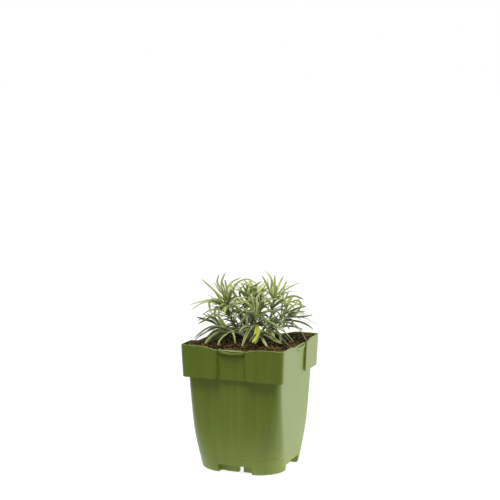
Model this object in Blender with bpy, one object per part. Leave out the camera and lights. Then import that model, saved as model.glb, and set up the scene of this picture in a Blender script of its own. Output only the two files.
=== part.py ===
# A curry plant growing in an 11 cm square nursery pot.
# The pot is one thin moulding: a tapering rounded-square cup on four hollow feet, with a band folded
# down outside its rim. The plant has a woody crown in the soil, stems, a tuft of narrow leaves at the
# tip of each stem, and single leaves lower down. Shapes are worked out in millimetres.
import math

import bpy
import numpy as np

for old in list(bpy.data.objects):
    bpy.data.objects.remove(old, do_unlink=True)

MM = 0.001
GAP = 0.3            # clearance between neighbouring solids

# pot
RIM_HALF = 55.3      # half the width over the rim
POT_HEIGHT = 130.5
BAND_HEIGHT = 33.0
BAND_LEAN = 1.4      # how far the band tapers in towards its lower edge
BAND_RADIUS = 4.5    # corner radius of the band
CUP_RADIUS = 7.0     # corner radius of the cup under the band
FOOT_RADIUS = 28.0   # and at its feet
ROUND_HEIGHT = 98.0  # the corners widen towards the feet below this height
WALL = 1.2
RIM_DIP = 2.6        # the rim is lower than its corners at the middle of each side
DIP_START = 15.0     # the rim climbs back to its corners from here along a side
DIP_REACH = 16.0
RECESS_HALF = 15.0   # label recess in the middle of each side of the band
RECESS_DEPTH = 2.1
LIP_HEIGHT = 5.2     # bowed lip above the recess
LIP_WALL = 1.1
LIP_SAG = 2.2        # the lip's top edge hangs lower than the wall behind it
SLOT_HALF = 11.0     # slot for a label between the lip and the recessed wall
FLOOR_TOP = 10.5     # inner floor
CHANNEL_HALF = 18.0  # drain channels that cross under the floor
CHANNEL_TOP = 8.7
FOOT_WALL = 2.0      # wall round the hollow of each foot
# outlines of the two lugs in each channel's mouth; the first joins the foot beside it
LUGS = (((-18.8, -36.8), (-11.5, -36.8), (-11.5, -38.0), (2.0, -38.0), (2.0, -34.0), (-18.8, -34.0)),
        ((6.5, -37.0), (15.3, -37.0), (15.3, -34.0), (6.5, -34.0)))
LUG_FOOT = 0.3
HOLE_RADIUS = 4.0    # drain holes
HOLE_OFFSET = 22.0
CUP_PROFILE = ((0.0, 43.0), (1.0, 44.2), (3.0, 44.8), (5.0, 45.0), (12.0, 45.6), (25.0, 46.9),
               (40.0, 48.0), (55.0, 48.5), (70.0, 48.8), (98.0, 49.7), (129.0, 50.65))

# potting mix and crown
SOIL_EDGE = 126.5
SOIL_RISE = 1.6      # mound in the middle
SOIL_CORNER_RISE = 1.8
SOIL_RECESS_HALF = 17.5
CROWN_FOOT = 113.0
CROWN_MIDDLE = 128.8
CROWN_RADIUS = 6.0
CROWN_RISE = 5.6

# plant
STEM_BASE = 1.3      # stem radius at the crown
STEM_TIP = 1.05      # and at its tuft
HUB_LENGTH = 9.0     # the leafy tip of a stem
HUB_SIDES = 8
HUB_ROWS = 5
FARTHEST_TIP = np.array([59.2, 56.0, 198.6])    # no leaf reaches past this from the pot's axis
LEAF_TRIES = 120     # ways tried for one leaf before it is left out
LEAF_WIDTH = 2.1
LEAF_THICKNESS = 0.9
LEAF_RINGS = 4
LEAF_REACH = 56.0    # further leaves keep within this of the axis, along X and along Y
SEED = 7

# Each shoot: where its tuft starts, its leaf tips chosen by hand as (x, y, z, arch), and how many
# further leaves the tuft gets. Front is -Y, right is +X.
SHOOTS = {
    "upper_left": ((-24, -4, 166), ((-52, -6, 191, 1), (-40, 9, 195, 2), (-36, -13, 193, 3),
                                    (-31, 4, 197, 2), (-60, -18, 168, 10), (-56, -27, 163, 9),
                                    (-32, -29, 160, 12), (-25, -16, 184, 3), (-23, 8, 184, 2)), 5),
    "upper_right": ((19, 15, 168), ((8, 20, 199, 4), (7, 8, 196, 3), (19, 18, 198, 1),
                                    (23, 30, 193, 2), (31, 20, 192, 2), (38, 33, 186, 3),
                                    (48, 22, 171, 9), (43, 8, 165, 8), (46, 34, 172, 5)), 5),
    "front": ((12, -19, 150), ((3, -29, 188, 3), (5, -16, 186, 2), (24, -17, 181, 9),
                               (39, -24, 167, 6), (40, -26, 149, 6), (-5, -34, 153, 5),
                               (-2, -16, 164, 4)), 3),
    "left": ((-21, -19, 143), ((-47, -17, 158, 2), (-52, -27, 155, 3), (-44, -36, 151, 4),
                               (-46, -40, 139, 6), (-36, -45, 134, 7), (-27, -20, 164, 2)), 5),
    "right": ((34, 9, 152), ((59, 19, 157, 2), (60, 10, 143, 6), (50, 26, 142, 6),
                             (46, -3, 145, 5), (42, 14, 170, 1)), 6),
    "middle_left": ((-9, 11, 168), ((-13, 14, 190, 2), (-27, 15, 183, 3), (-22, 4, 182, 4)), 6),
    "middle_top": ((5, 5, 172), ((5, 8, 193, 1), (13, 0, 191, 3), (-1, 14, 190, 2),
                                 (-33, 8, 178, 14)), 6),
    "lower_right": ((24, -13, 143), ((39, -24, 136, 6), (33, -27, 141, 6), (43, -9, 140, 5)), 5),
    "back": ((-9, 32, 154), ((-16, 54, 168, 4), (2, 54, 163, 5), (-10, 40, 180, 1)), 8),
    "back_left": ((-32, 17, 152), ((-58, 30, 160, 5), (-48, 18, 174, 2), (-50, 42, 151, 7)), 8),
    "back_right": ((22, 33, 150), ((36, 53, 160, 5), (44, 44, 152, 6), (24, 46, 174, 2)), 8),
    "low_back": ((-20, 36, 141), ((-40, 52, 147, 6), (-24, 54, 151, 5)), 8),
}
# Single leaves named by hand: the stem, the place along it, the tip and the arch.
NAMED_LEAVES = {
    "drooping_leaf": ("front", 0.80, (11, -46, 132), 6.0, 2.9),
    "yellow_leaf": ("front", 0.60, (15, -36, 134), 3.0, 3.2),
    "basal_leaf": ("lower_right", 0.40, (31, -36, 131), 4.0, 2.2),
    "trailing_leaf": ("left", 0.55, (-18, -47, 132), 8.0, 2.0),
}
LOWER_LEAVES = 24    # further single leaves, spread over all the stems


# ---------------------------------------------------------------- materials
def principled(name, red, green, blue, roughness):
    material = bpy.data.materials.new(name)
    material.use_nodes = True
    shader = material.node_tree.nodes["Principled BSDF"]
    shader.inputs["Base Color"].default_value = (red, green, blue, 1.0)
    shader.inputs["Roughness"].default_value = roughness
    material.diffuse_color = (red, green, blue, 1.0)
    return material


POT_PLASTIC = principled("olive_polypropylene", 0.130, 0.170, 0.035, 0.45)
PEAT = principled("peat_potting_mix", 0.030, 0.020, 0.010, 0.95)
BARK = principled("woody_crown_bark", 0.120, 0.085, 0.050, 0.85)
STEM_SKIN = principled("felted_green_stem", 0.180, 0.230, 0.095, 0.75)
LEAF_SKIN = principled("felted_leaf", 0.250, 0.310, 0.150, 0.70)
YELLOW_SKIN = principled("yellowing_leaf", 0.380, 0.390, 0.060, 0.65)


def make_object(name, points, faces, material):
    """Adds a mesh object from points in millimetres."""
    mesh = bpy.data.meshes.new(name)
    mesh.from_pydata([tuple(float(c) * MM for c in p) for p in points], [], faces)
    mesh.materials.append(material)
    mesh.validate()
    made = bpy.data.objects.new(name, mesh)
    bpy.context.collection.objects.link(made)
    return made


def make_helper(name, points, faces):
    """A cutter or an added lug: used by a Boolean and left out of the part."""
    helper = make_object(name, points, faces, POT_PLASTIC)
    helper.hide_render = True
    helper.display_type = "WIRE"
    return helper


def combine(target, helper, operation):
    step = target.modifiers.new(helper.name, "BOOLEAN")
    step.operation = operation
    step.object = helper


def ring_faces(count, rings, first=0):
    """Quads between rings of count points each, facing out when rings run up and points run round."""
    faces = []
    for k in range(rings - 1):
        for i in range(count):
            j = (i + 1) % count
            low = first + k * count
            faces.append((low + i, low + j, low + count + j, low + count + i))
    return faces


def prism(outline, low, high):
    """Points and faces of an upright prism over an outline given counter-clockwise."""
    count = len(outline)
    points = [(x, y, low) for x, y in outline] + [(x, y, high) for x, y in outline]
    faces = ring_faces(count, 2)
    faces.append(tuple(range(count))[::-1])
    faces.append(tuple(range(count, 2 * count)))
    return points, faces


def quarter_turns(points, faces):
    """The same shape four times, a quarter turn apart about Z."""
    all_points, all_faces = [], []
    for k in range(4):
        c, s = round(math.cos(k * math.pi / 2)), round(math.sin(k * math.pi / 2))
        first = len(all_points)
        all_points += [(c * x - s * y, s * x + c * y, z) for x, y, z in points]
        all_faces += [tuple(first + i for i in face) for face in faces]
    return all_points, all_faces


# ---------------------------------------------------------------- pot
def smooth(t):
    t = np.clip(t, 0.0, 1.0)
    return t * t * (3.0 - 2.0 * t)


def rim_dip(along):
    """How far the rim lies below its corners at a place along a side."""
    return RIM_DIP * (1.0 - smooth((np.abs(along) - DIP_START) / DIP_REACH))


SIDE_STATIONS = (8.0, RECESS_HALF - 0.4, RECESS_HALF + 0.8, 19.0, 24.0)


def side_outline(half, radius):
    """Points along half a side of a rounded square, as (along, out), from its middle to the diagonal."""
    straight = half - radius
    along = [0.0] + list(SIDE_STATIONS)
    out = [half if a <= straight else straight + math.sqrt(radius ** 2 - (a - straight) ** 2)
           for a in along]
    first = 0.0
    steps = (0.0, 1 / 3, 2 / 3, 1.0)
    if along[-1] > straight - 1.0:
        first = math.asin(max(0.0, along[-1] - straight) / radius)
        steps = (0.25, 0.5, 0.75, 1.0)
    for step in steps:
        angle = first + (math.pi / 4 - first) * step
        along.append(straight + radius * math.sin(angle))
        out.append(straight + radius * math.cos(angle))
    return np.array(along), np.array(out)


def square_ring(half, radius, height, dip=0.0, inset=None, sag=0.0):
    """A rounded-square ring, counter-clockwise. dip follows the rim, inset(along) moves the wall in."""
    along, out = side_outline(half, radius)
    along = np.concatenate([-along[:0:-1], along])[1:]
    out = np.concatenate([out[:0:-1], out])[1:]
    if inset is not None:
        out = out - inset(along)
    z = height - dip * rim_dip(along) - sag * LIP_SAG * np.clip(1.0 - (along / RECESS_HALF) ** 2, 0.0, 1.0)
    points = []
    for k in range(4):
        angle = (k - 1) * math.pi / 2
        c, s = round(math.cos(angle)), round(math.sin(angle))
        # the side faces along (c, s) and runs along (-s, c)
        points += [(c * o - s * a, s * o + c * a, h) for a, o, h in zip(along, out, z)]
    return points


def cup_half(z):
    heights, halves = zip(*CUP_PROFILE)
    return float(np.interp(z, heights, halves))


def cup_radius(z):
    return CUP_RADIUS + (FOOT_RADIUS - CUP_RADIUS) * max(0.0, 1.0 - z / ROUND_HEIGHT) ** 1.6


def recess(along):
    return np.where(np.abs(along) < RECESS_HALF, RECESS_DEPTH, 0.0)


def lip(along):
    return np.where(np.abs(along) < RECESS_HALF, RECESS_DEPTH * 0.9 * (along / RECESS_HALF) ** 4, 0.0)


def make_pot():
    top = POT_HEIGHT
    low = POT_HEIGHT - BAND_HEIGHT
    lip_low = top - RIM_DIP - LIP_HEIGHT
    lean = BAND_LEAN / BAND_HEIGHT
    rings = []
    for z, half in CUP_PROFILE:
        if z < low - 1.0:
            rings.append(square_ring(half, cup_radius(z), z))
    rings.append(square_ring(cup_half(low), cup_radius(low), low))

    def band(z, inset, wall=0.0, dip=0.0, sag=0.0):
        half = RIM_HALF - lean * (top - z) - wall
        return square_ring(half, BAND_RADIUS - wall, z, dip, inset, sag)

    rings.append(band(low, recess))
    rings.append(band(lip_low - 0.5, recess))
    rings.append(band(lip_low + 0.5, lip))
    rings.append(band(top - 0.4, lip, dip=1.0, sag=1.0))
    rings.append(band(top, lip, wall=0.4, dip=1.0, sag=1.0))
    rings.append(band(top, recess, wall=WALL - 0.1, dip=1.0))
    rings.append(band(low + WALL, recess, wall=WALL))
    rings.append(square_ring(cup_half(low) - WALL, cup_radius(low) - 1.0, low + WALL))
    for z in (70.0, 40.0, 25.0, FLOOR_TOP + 4.0):
        rings.append(square_ring(cup_half(z) - WALL, cup_radius(z) - 1.0, z))
    rings.append(square_ring(cup_half(FLOOR_TOP) - WALL - 2.5, cup_radius(FLOOR_TOP) - 2.0, FLOOR_TOP))

    count = len(rings[0])
    points = [p for ring in rings for p in ring]
    faces = ring_faces(count, len(rings))
    # the underside and the inner floor are closed by fans
    points += [(0.0, 0.0, 0.0), (0.0, 0.0, FLOOR_TOP)]
    last = (len(rings) - 1) * count
    for i in range(count):
        j = (i + 1) % count
        faces.append((len(points) - 2, j, i))
        faces.append((len(points) - 1, last + i, last + j))
    pot = make_object("pot", points, faces, POT_PLASTIC)

    # drain channels that cross under the floor
    c, far = CHANNEL_HALF, RIM_HALF
    cross = [(c, c), (c, far), (-c, far), (-c, c), (-far, c), (-far, -c),
             (-c, -c), (-c, -far), (c, -far), (c, -c), (far, -c), (far, c)]
    combine(pot, make_helper("channel_cutter", *prism(cross, -2.0, CHANNEL_TOP)), "DIFFERENCE")

    # hollow of each foot
    near = CHANNEL_HALF + FOOT_WALL
    centre, reach = 13.0, 24.4 - FOOT_WALL
    start = math.asin((near - centre) / reach)
    hollow = [(near, near)]
    for k in range(6):
        angle = start + (math.pi / 2 - 2 * start) * k / 5
        hollow.append((centre + reach * math.cos(angle), centre + reach * math.sin(angle)))
    feet = quarter_turns(*prism(hollow, -2.0, CHANNEL_TOP + 0.2))
    combine(pot, make_helper("foot_cutter", *feet), "DIFFERENCE")

    # lugs that hang from the floor, set back behind each channel's mouth
    lugs_points, lugs_faces = [], []
    for outline in LUGS:
        points, faces = prism(outline, LUG_FOOT, CHANNEL_TOP + 0.8)
        first = len(lugs_points)
        lugs_points += points
        lugs_faces += [tuple(first + i for i in face) for face in faces]
    combine(pot, make_helper("floor_lugs", *quarter_turns(lugs_points, lugs_faces)), "UNION")

    # drain holes: one in the middle and one in each channel
    circle = [(HOLE_RADIUS * math.cos(k * math.pi / 6), HOLE_RADIUS * math.sin(k * math.pi / 6))
              for k in range(12)]
    points, faces = prism(circle, CHANNEL_TOP - 2.0, FLOOR_TOP + 2.0)
    away = [(x + HOLE_OFFSET, y, z) for x, y, z in points]
    side_points, side_faces = quarter_turns(away, faces)
    first = len(side_points)
    side_points += points
    side_faces += [tuple(first + i for i in face) for face in faces]
    combine(pot, make_helper("drain_cutter", side_points, side_faces), "DIFFERENCE")

    # slot for a label between each lip and the recessed wall, open above and below
    wall_line = -(RIM_HALF - RECESS_DEPTH - 0.2)
    stations = np.linspace(-SLOT_HALF, SLOT_HALF, 8)
    slot = [(x, -(RIM_HALF - LIP_WALL) + inset) for x, inset in zip(stations, lip(stations))]
    slot += [(SLOT_HALF, wall_line), (-SLOT_HALF, wall_line)]
    slots = quarter_turns(*prism(slot, lip_low - 1.5, top + 2.0))
    combine(pot, make_helper("slot_cutter", *slots), "DIFFERENCE")
    return pot


# ---------------------------------------------------------------- potting mix and crown
def soil_height(x, y):
    """Height of the soil: a low mound with soft lumps that rises into the pot's corners as the rim does."""
    reach = np.maximum(np.abs(x), np.abs(y)) / (RIM_HALF - 2.0)
    corner = smooth((np.minimum(np.abs(x), np.abs(y)) - DIP_START) / DIP_REACH)
    lumps = 0.35 * np.sin(0.21 * x + 0.4) * np.cos(0.17 * y - 0.6) + 0.2 * np.sin(0.43 * x - 0.31 * y)
    return SOIL_EDGE + SOIL_RISE * (1.0 - smooth(reach)) + SOIL_CORNER_RISE * corner + lumps * smooth(reach * 4.0)


def soil_recess(along):
    """The mix stands back from the recessed wall, a little wider than the recess itself."""
    return np.where(np.abs(along) < SOIL_RECESS_HALF, RECESS_DEPTH, 0.0)


def make_potting_mix():
    inset = WALL + GAP
    base = FLOOR_TOP + GAP
    shoulder = POT_HEIGHT - BAND_HEIGHT + WALL + GAP
    rings = [square_ring(cup_half(base) - inset - 3.2, cup_radius(base) - 1.0, base)]
    for z in (FLOOR_TOP + 4.6, 25.0, 40.0, 70.0):
        rings.append(square_ring(cup_half(z) - inset - 0.1, cup_radius(z) - 0.6, z))
    rings.append(square_ring(cup_half(shoulder) - inset - 0.1, cup_radius(shoulder) - 0.6, shoulder))
    for z in (shoulder, SOIL_EDGE):
        half = RIM_HALF - BAND_LEAN * (POT_HEIGHT - z) / BAND_HEIGHT - inset
        rings.append(square_ring(half, BAND_RADIUS - 1.0, z, 0.0, soil_recess))
    edge = np.array(rings[-1])
    rings = [np.array(ring) for ring in rings[:-1]]
    away = np.linalg.norm(edge[:, :2], axis=1)[:, None]
    socket = CROWN_RADIUS + GAP
    # the surface draws in from the outline to the round socket of the crown
    for share in (1.0, 0.84, 0.64, 0.42, 0.24):
        circle = (1.0 - share) ** 0.7
        flat = edge[:, :2] * share * (1.0 - circle) + edge[:, :2] / away * half * share * circle
        rings.append(np.column_stack([flat, soil_height(flat[:, 0], flat[:, 1])]))
    flat = edge[:, :2] / away * socket
    rings.append(np.column_stack([flat, soil_height(flat[:, 0], flat[:, 1])]))
    rings.append(np.column_stack([flat, np.full(len(flat), CROWN_FOOT - GAP)]))
    count = len(edge)
    faces = ring_faces(count, len(rings))
    faces.append(tuple(range(count))[::-1])
    last = (len(rings) - 1) * count
    faces.append(tuple(range(last, last + count)))
    return make_object("potting_mix", np.concatenate(rings).tolist(), faces, PEAT)


def make_root_crown():
    sides = 14
    profile = [(3.0, CROWN_FOOT), (4.4, CROWN_FOOT + 4.0), (5.0, CROWN_FOOT + 9.0),
               (5.4, CROWN_MIDDLE - 2.0)]
    for k in range(5):
        angle = math.pi / 2 * k / 5
        profile.append((CROWN_RADIUS * math.cos(angle) - 0.02, CROWN_MIDDLE + CROWN_RISE * math.sin(angle)))
    points = []
    for radius, z in profile:
        points += [(radius * math.cos(2 * math.pi * i / sides), radius * math.sin(2 * math.pi * i / sides), z)
                   for i in range(sides)]
    faces = ring_faces(sides, len(profile))
    faces.append(tuple(range(sides))[::-1])
    points.append((0.0, 0.0, CROWN_MIDDLE + CROWN_RISE))
    last = (len(profile) - 1) * sides
    for i in range(sides):
        faces.append((last + i, last + (i + 1) % sides, len(points) - 1))
    return make_object("root_crown", points, faces, BARK)


# ---------------------------------------------------------------- stems and leaves
def unit(vector):
    return vector / np.linalg.norm(vector)


def bezier(a, b, c, t):
    t = np.asarray(t)[:, None]
    return (1 - t) ** 2 * a + 2 * t * (1 - t) * b + t ** 2 * c


def frames_along(path, up):
    """Tangent, side and normal at each point; the normal is carried along without twist."""
    tangents = np.gradient(path, axis=0)
    tangents /= np.linalg.norm(tangents, axis=1)[:, None]
    sides, normals = [], []
    normal = up
    for tangent in tangents:
        normal = unit(normal - tangent * np.dot(normal, tangent))
        normals.append(normal)
        sides.append(np.cross(normal, tangent))
    return tangents, np.array(sides), np.array(normals)


def blade_width(t):
    """Share of the full width: narrow at the base, full by a third, tapering to the tip."""
    return 0.55 + 0.45 * smooth(t * 3.0) - 0.72 * np.clip((t - 0.5) / 0.5, 0, 1) ** 1.5


class Space:
    """What is taken up so far, as balls along each piece, so that no two pieces run into each other."""

    def __init__(self):
        self.points = np.zeros((0, 3))
        self.radii = np.zeros(0)
        self.owners = np.zeros(0, int)

    def add(self, path, radius, owner):
        path = np.atleast_2d(path)
        self.points = np.concatenate([self.points, path])
        self.radii = np.concatenate([self.radii, np.full(len(path), radius)])
        self.owners = np.concatenate([self.owners, np.full(len(path), owner)])

    def room(self, path, radius, owner):
        """The least clearance of a path to every piece but its owner, and to soil and rim."""
        others = self.owners != owner
        room = 9.0
        if others.any():
            away = np.linalg.norm(path[:, None] - self.points[others][None], axis=2)
            room = float((away - self.radii[others][None]).min()) - radius
        ground = soil_height(path[:, 0], path[:, 1]) + 0.4
        over_rim = np.abs(path[:, :2]).max(axis=1) > RIM_HALF - 8.0
        ground = np.where(over_rim, POT_HEIGHT + 0.6, ground)
        return min(room, float((path[:, 2] - ground).min()) - radius)


FINE = np.linspace(0.0, 1.0, 25)
space = Space()
random = np.random.default_rng(SEED)


class Shoot:
    """One stem with the tuft of leaves at its tip."""

    def __init__(self, number, name, hub):
        self.name = name
        self.owner = 2 * number
        self.hub = np.array(hub, float)
        self.used = set()
        self.leaves = []
        heading = math.atan2(self.hub[1], self.hub[0])
        spread = math.hypot(self.hub[0], self.hub[1])
        rise = 1.15 - 0.022 * spread
        for attempt in range(400):
            turn = heading + 0.02 * attempt * random.uniform(-0.5, 0.5)
            lift = rise + 0.01 * attempt * random.uniform(-0.5, 0.5)
            lift = min(1.35, max(0.12, lift))
            way = np.array([math.cos(turn) * math.cos(lift), math.sin(turn) * math.cos(lift), math.sin(lift)])
            on_crown = way * np.array([CROWN_RADIUS, CROWN_RADIUS, CROWN_RISE])
            start = np.array([0.0, 0.0, CROWN_MIDDLE]) + on_crown + way * GAP
            bend = start + way * 0.55 * np.linalg.norm(self.hub - start)
            bend[2] = min(bend[2], self.hub[2] - 4.0)
            self.path = bezier(start, bend, self.hub, FINE)
            if space.room(self.path[1:], STEM_BASE, self.owner) > GAP:
                break
        else:
            raise ValueError(name + " finds no clear way from the crown")
        self.axis = unit(self.path[-1] - self.path[-2])
        space.add(self.path, STEM_BASE, self.owner)
        self.base = self.hub + self.axis * GAP
        core = self.base + np.outer(np.linspace(0.0, 1.0, 6), self.axis * HUB_LENGTH)
        space.add(core, 1.9, self.owner + 1)
        across = unit(np.cross(self.axis, np.array([0.3, 0.1, 1.0])))
        self.across = across
        self.over = np.cross(self.axis, across)

    def cell(self, row, sector):
        """Middle of a hub face and the way it looks."""
        angle = 2 * math.pi * (sector + 0.5) / HUB_SIDES
        out = self.across * math.cos(angle) + self.over * math.sin(angle)
        along = HUB_LENGTH * (row + 0.5) / HUB_ROWS
        return self.base + self.axis * along + out * hub_radius((row + 0.5) / HUB_ROWS), out

    def best_cells(self, tip):
        """The free hub faces for a leaf ending at tip, the one that suits it best first."""
        way = unit(tip - self.base - self.axis * HUB_LENGTH / 2)
        lean = math.acos(float(np.clip(np.dot(way, self.axis), -1, 1)))
        row_wanted = (HUB_ROWS - 1) * (1.0 - min(1.0, lean / 1.4))
        ranked = []
        for row in range(HUB_ROWS):
            for sector in range(HUB_SIDES):
                if (row, sector) in self.used:
                    continue
                _, out = self.cell(row, sector)
                cost = -np.dot(out, unit(way - self.axis * np.dot(way, self.axis) + 1e-6 * out))
                cost += 0.35 * abs(row - row_wanted)
                cost += 0.5 * sum((row, (sector + k) % HUB_SIDES) in self.used for k in (-1, 1))
                ranked.append((float(cost), row, sector))
        return [place[1:] for place in sorted(ranked)]

    def own_room(self, path, width):
        """The least clearance of a leaf to its own hub and to the tuft's other leaves."""
        core = self.base + np.outer(np.linspace(-0.2, 1.0, 10), self.axis * HUB_LENGTH)
        away = np.linalg.norm(path[5:, None] - core[None], axis=2)
        room = float(away.min()) - hub_radius(0.0) - width / 2
        for _, _, other, other_width in self.leaves:
            away = np.linalg.norm(path[:, None] - other[None], axis=2)
            away[:5, :5] = 9.0
            room = min(room, float(away.min()) - (width + other_width) / 2)
        return room

    def add_leaf(self, tip, arch, width):
        places = self.best_cells(tip)
        for attempt in range(LEAF_TRIES):
            row, sector = places[attempt // 12 % min(5, len(places))]
            start, out = self.cell(row, sector)
            jitter = random.normal(0.0, 1.0, 3) * 0.08 * attempt
            end = start + (tip - start) * (1.0 - 0.003 * attempt) + jitter
            end = np.clip(end, -FARTHEST_TIP, FARTHEST_TIP)
            middle = (start + end) / 2 + np.array([0.0, 0.0, arch]) + out * 1.5
            path = bezier(start, middle, end, FINE)
            clear = space.room(path, width / 2, self.owner + 1) > GAP
            if clear and self.own_room(path, width) > 0.0:
                break
        else:
            return False
        self.used.add((row, sector))
        space.add(path, width / 2, self.owner + 1)
        self.leaves.append((row, sector, path, width))
        return True

    def fill(self, count):
        """Further leaves in a spiral round the hub, the lower ones leaning out further."""
        golden = math.pi * (3.0 - math.sqrt(5.0))
        added = 0
        for k in range(count * 4):
            if added == count or len(self.used) >= HUB_ROWS * HUB_SIDES - 4:
                break
            level = random.uniform(0.0, 1.0)
            lean = 1.35 - 0.95 * level + random.uniform(-0.15, 0.15)
            turn = golden * k + random.uniform(-0.3, 0.3)
            out = self.across * math.cos(turn) + self.over * math.sin(turn)
            way = self.axis * math.cos(lean) + out * math.sin(lean)
            length = random.uniform(16.0, 27.0)
            middle = self.base + self.axis * HUB_LENGTH * level
            tip = middle + way * length - np.array([0.0, 0.0, 1.0]) * length * 0.15 * math.sin(lean)
            tip[:2] = np.clip(tip[:2], -LEAF_REACH, LEAF_REACH)
            added += self.add_leaf(tip, 2.0 + 2.5 * math.sin(lean), LEAF_WIDTH)


def hub_radius(t):
    return 1.75 - 0.75 * t


def blade_rings(path, up, width, base_ring=None):
    """Rings of four corners along a leaf, after its base ring."""
    stations = np.linspace(0.0, 1.0, LEAF_RINGS + 1)
    if base_ring is not None:
        stations = stations[1:]
    _, sides, normals = frames_along(path, up)
    rings = []
    for t in stations:
        k = int(round(t * (len(path) - 1)))
        half = width / 2 * float(blade_width(t))
        thick = LEAF_THICKNESS / 2 * (1.0 - 0.45 * t)
        p, s, n = path[k], sides[k], normals[k]
        rings.append([p - s * half - n * thick, p + s * half - n * thick,
                      p + s * half + n * thick, p - s * half + n * thick])
    return rings


def make_stem(shoot):
    sides = 6
    _, across, normals = frames_along(shoot.path, np.array([0.2, 0.3, 1.0]))
    points = []
    rings = range(0, len(shoot.path), 3)
    for k in rings:
        t = k / (len(shoot.path) - 1)
        radius = STEM_BASE + (STEM_TIP - STEM_BASE) * t
        for i in range(sides):
            angle = 2 * math.pi * i / sides
            points.append(shoot.path[k] + radius * (across[k] * math.cos(angle) + normals[k] * math.sin(angle)))
    faces = ring_faces(sides, len(rings))
    faces.append(tuple(range(sides))[::-1])
    last = (len(rings) - 1) * sides
    faces.append(tuple(range(last, last + sides)))
    return make_object(shoot.name + "_stem", points, faces, STEM_SKIN)


def make_tuft(shoot):
    """The hub of a tuft with its leaves drawn out of its faces, as one closed body."""
    points = []
    for row in range(HUB_ROWS + 1):
        t = row / HUB_ROWS
        centre = shoot.base + shoot.axis * HUB_LENGTH * t
        for i in range(HUB_SIDES):
            angle = 2 * math.pi * i / HUB_SIDES
            out = shoot.across * math.cos(angle) + shoot.over * math.sin(angle)
            points.append(centre + out * hub_radius(t))
    faces = [tuple(range(HUB_SIDES))[::-1]]
    top = HUB_ROWS * HUB_SIDES
    points.append(shoot.base + shoot.axis * (HUB_LENGTH + 2.5))
    leaves = {(row, sector): (path, width) for row, sector, path, width in shoot.leaves}
    for i in range(HUB_SIDES):
        faces.append((top + i, top + (i + 1) % HUB_SIDES, len(points) - 1))
    for row in range(HUB_ROWS):
        for i in range(HUB_SIDES):
            j = (i + 1) % HUB_SIDES
            low = row * HUB_SIDES
            quad = [low + i, low + j, low + HUB_SIDES + j, low + HUB_SIDES + i]
            if (row, i) not in leaves:
                faces.append(tuple(quad))
                continue
            path, width = leaves[(row, i)]
            ring = quad
            for corners in blade_rings(path, shoot.axis, width, quad):
                first = len(points)
                points += corners
                new = [first, first + 1, first + 2, first + 3]
                faces += [(ring[a], ring[(a + 1) % 4], new[(a + 1) % 4], new[a]) for a in range(4)]
                ring = new
            faces.append(tuple(ring))
    return make_object(shoot.name + "_leaves", points, faces, LEAF_SKIN)


def make_single_leaf(name, path, up, width, material):
    rings = blade_rings(path, up, width)
    points = [corner for ring in rings for corner in ring]
    faces = ring_faces(4, len(rings))
    faces.append((3, 2, 1, 0))
    last = 4 * (len(rings) - 1)
    faces.append((last, last + 1, last + 2, last + 3))
    return make_object(name, points, faces, material)


def stem_leaf_path(shoot, share, tip, arch, width, owner):
    """A leaf that starts just off a stem; None when there is no room for it."""
    place = shoot.path[int(round(share * (len(shoot.path) - 1)))]
    tangent = unit(shoot.path[-1] - shoot.path[0])
    for attempt in range(80):
        end = tip + random.normal(0.0, 1.0, 3) * 0.1 * attempt
        out = end - place
        out = unit(out - tangent * np.dot(out, tangent) * 0.8)
        stem_radius = STEM_BASE + (STEM_TIP - STEM_BASE) * share
        start = place + out * (stem_radius + GAP + LEAF_THICKNESS / 2)
        middle = (start + end) / 2 + np.array([0.0, 0.0, arch])
        path = bezier(start, middle, end, FINE)
        own = space.owners == shoot.owner
        away = np.linalg.norm(path[5:, None] - space.points[own][None], axis=2).min()
        clear = space.room(path[2:], width / 2, shoot.owner) > GAP
        first = np.linalg.norm(path[:2, None] - space.points[~own][None], axis=2) - space.radii[~own][None]
        if clear and first.min() > width / 2 + GAP and away > STEM_BASE + width / 2 + GAP:
            space.add(path, width / 2, owner)
            return path
    return None


make_pot()
make_potting_mix()
make_root_crown()

shoots = {}
for number, (name, (hub, _, _)) in enumerate(SHOOTS.items()):
    shoots[name] = Shoot(number, name, hub)

singles = []
owner = 2 * len(shoots)
for name, (stem, share, tip, arch, width) in NAMED_LEAVES.items():
    owner += 1
    path = stem_leaf_path(shoots[stem], share, np.array(tip, float), arch, width, owner)
    if path is not None:
        skin = YELLOW_SKIN if name == "yellow_leaf" else LEAF_SKIN
        singles.append((name, path, width, skin))
for name, (_, tips, _) in SHOOTS.items():
    for x, y, z, arch in tips:
        shoots[name].add_leaf(np.array([x, y, z], float), float(arch), LEAF_WIDTH)
for name, (_, _, more) in SHOOTS.items():
    shoots[name].fill(more)

# lower leaves go round the stems in turn
made = 0
attempt = 0
names = list(shoots)
while made < LOWER_LEAVES and attempt < 400:
    shoot = shoots[names[attempt % len(names)]]
    attempt += 1
    share = random.uniform(0.35, 0.92)
    place = shoot.path[int(round(share * (len(shoot.path) - 1)))]
    turn = math.atan2(place[1], place[0]) + random.uniform(-1.5, 1.5)
    length = random.uniform(14.0, 24.0)
    tip = place + np.array([math.cos(turn), math.sin(turn), random.uniform(-0.3, 0.45)]) * length
    if np.abs(tip[:2]).max() > 58.0:
        continue
    path = stem_leaf_path(shoot, share, tip, random.uniform(1.0, 4.0), LEAF_WIDTH, owner + 1)
    if path is None:
        continue
    owner += 1
    made += 1
    singles.append(("lower_leaf_%02d" % made, path, LEAF_WIDTH, LEAF_SKIN))

for shoot in shoots.values():
    make_stem(shoot)
    make_tuft(shoot)
for name, path, width, skin in singles:
    make_single_leaf(name, path, np.array([0.0, 0.0, 1.0]), width, skin)
print("leaves in tufts:", {name: len(shoot.leaves) for name, shoot in shoots.items()}, "single:", len(singles))
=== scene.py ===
import math

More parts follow.
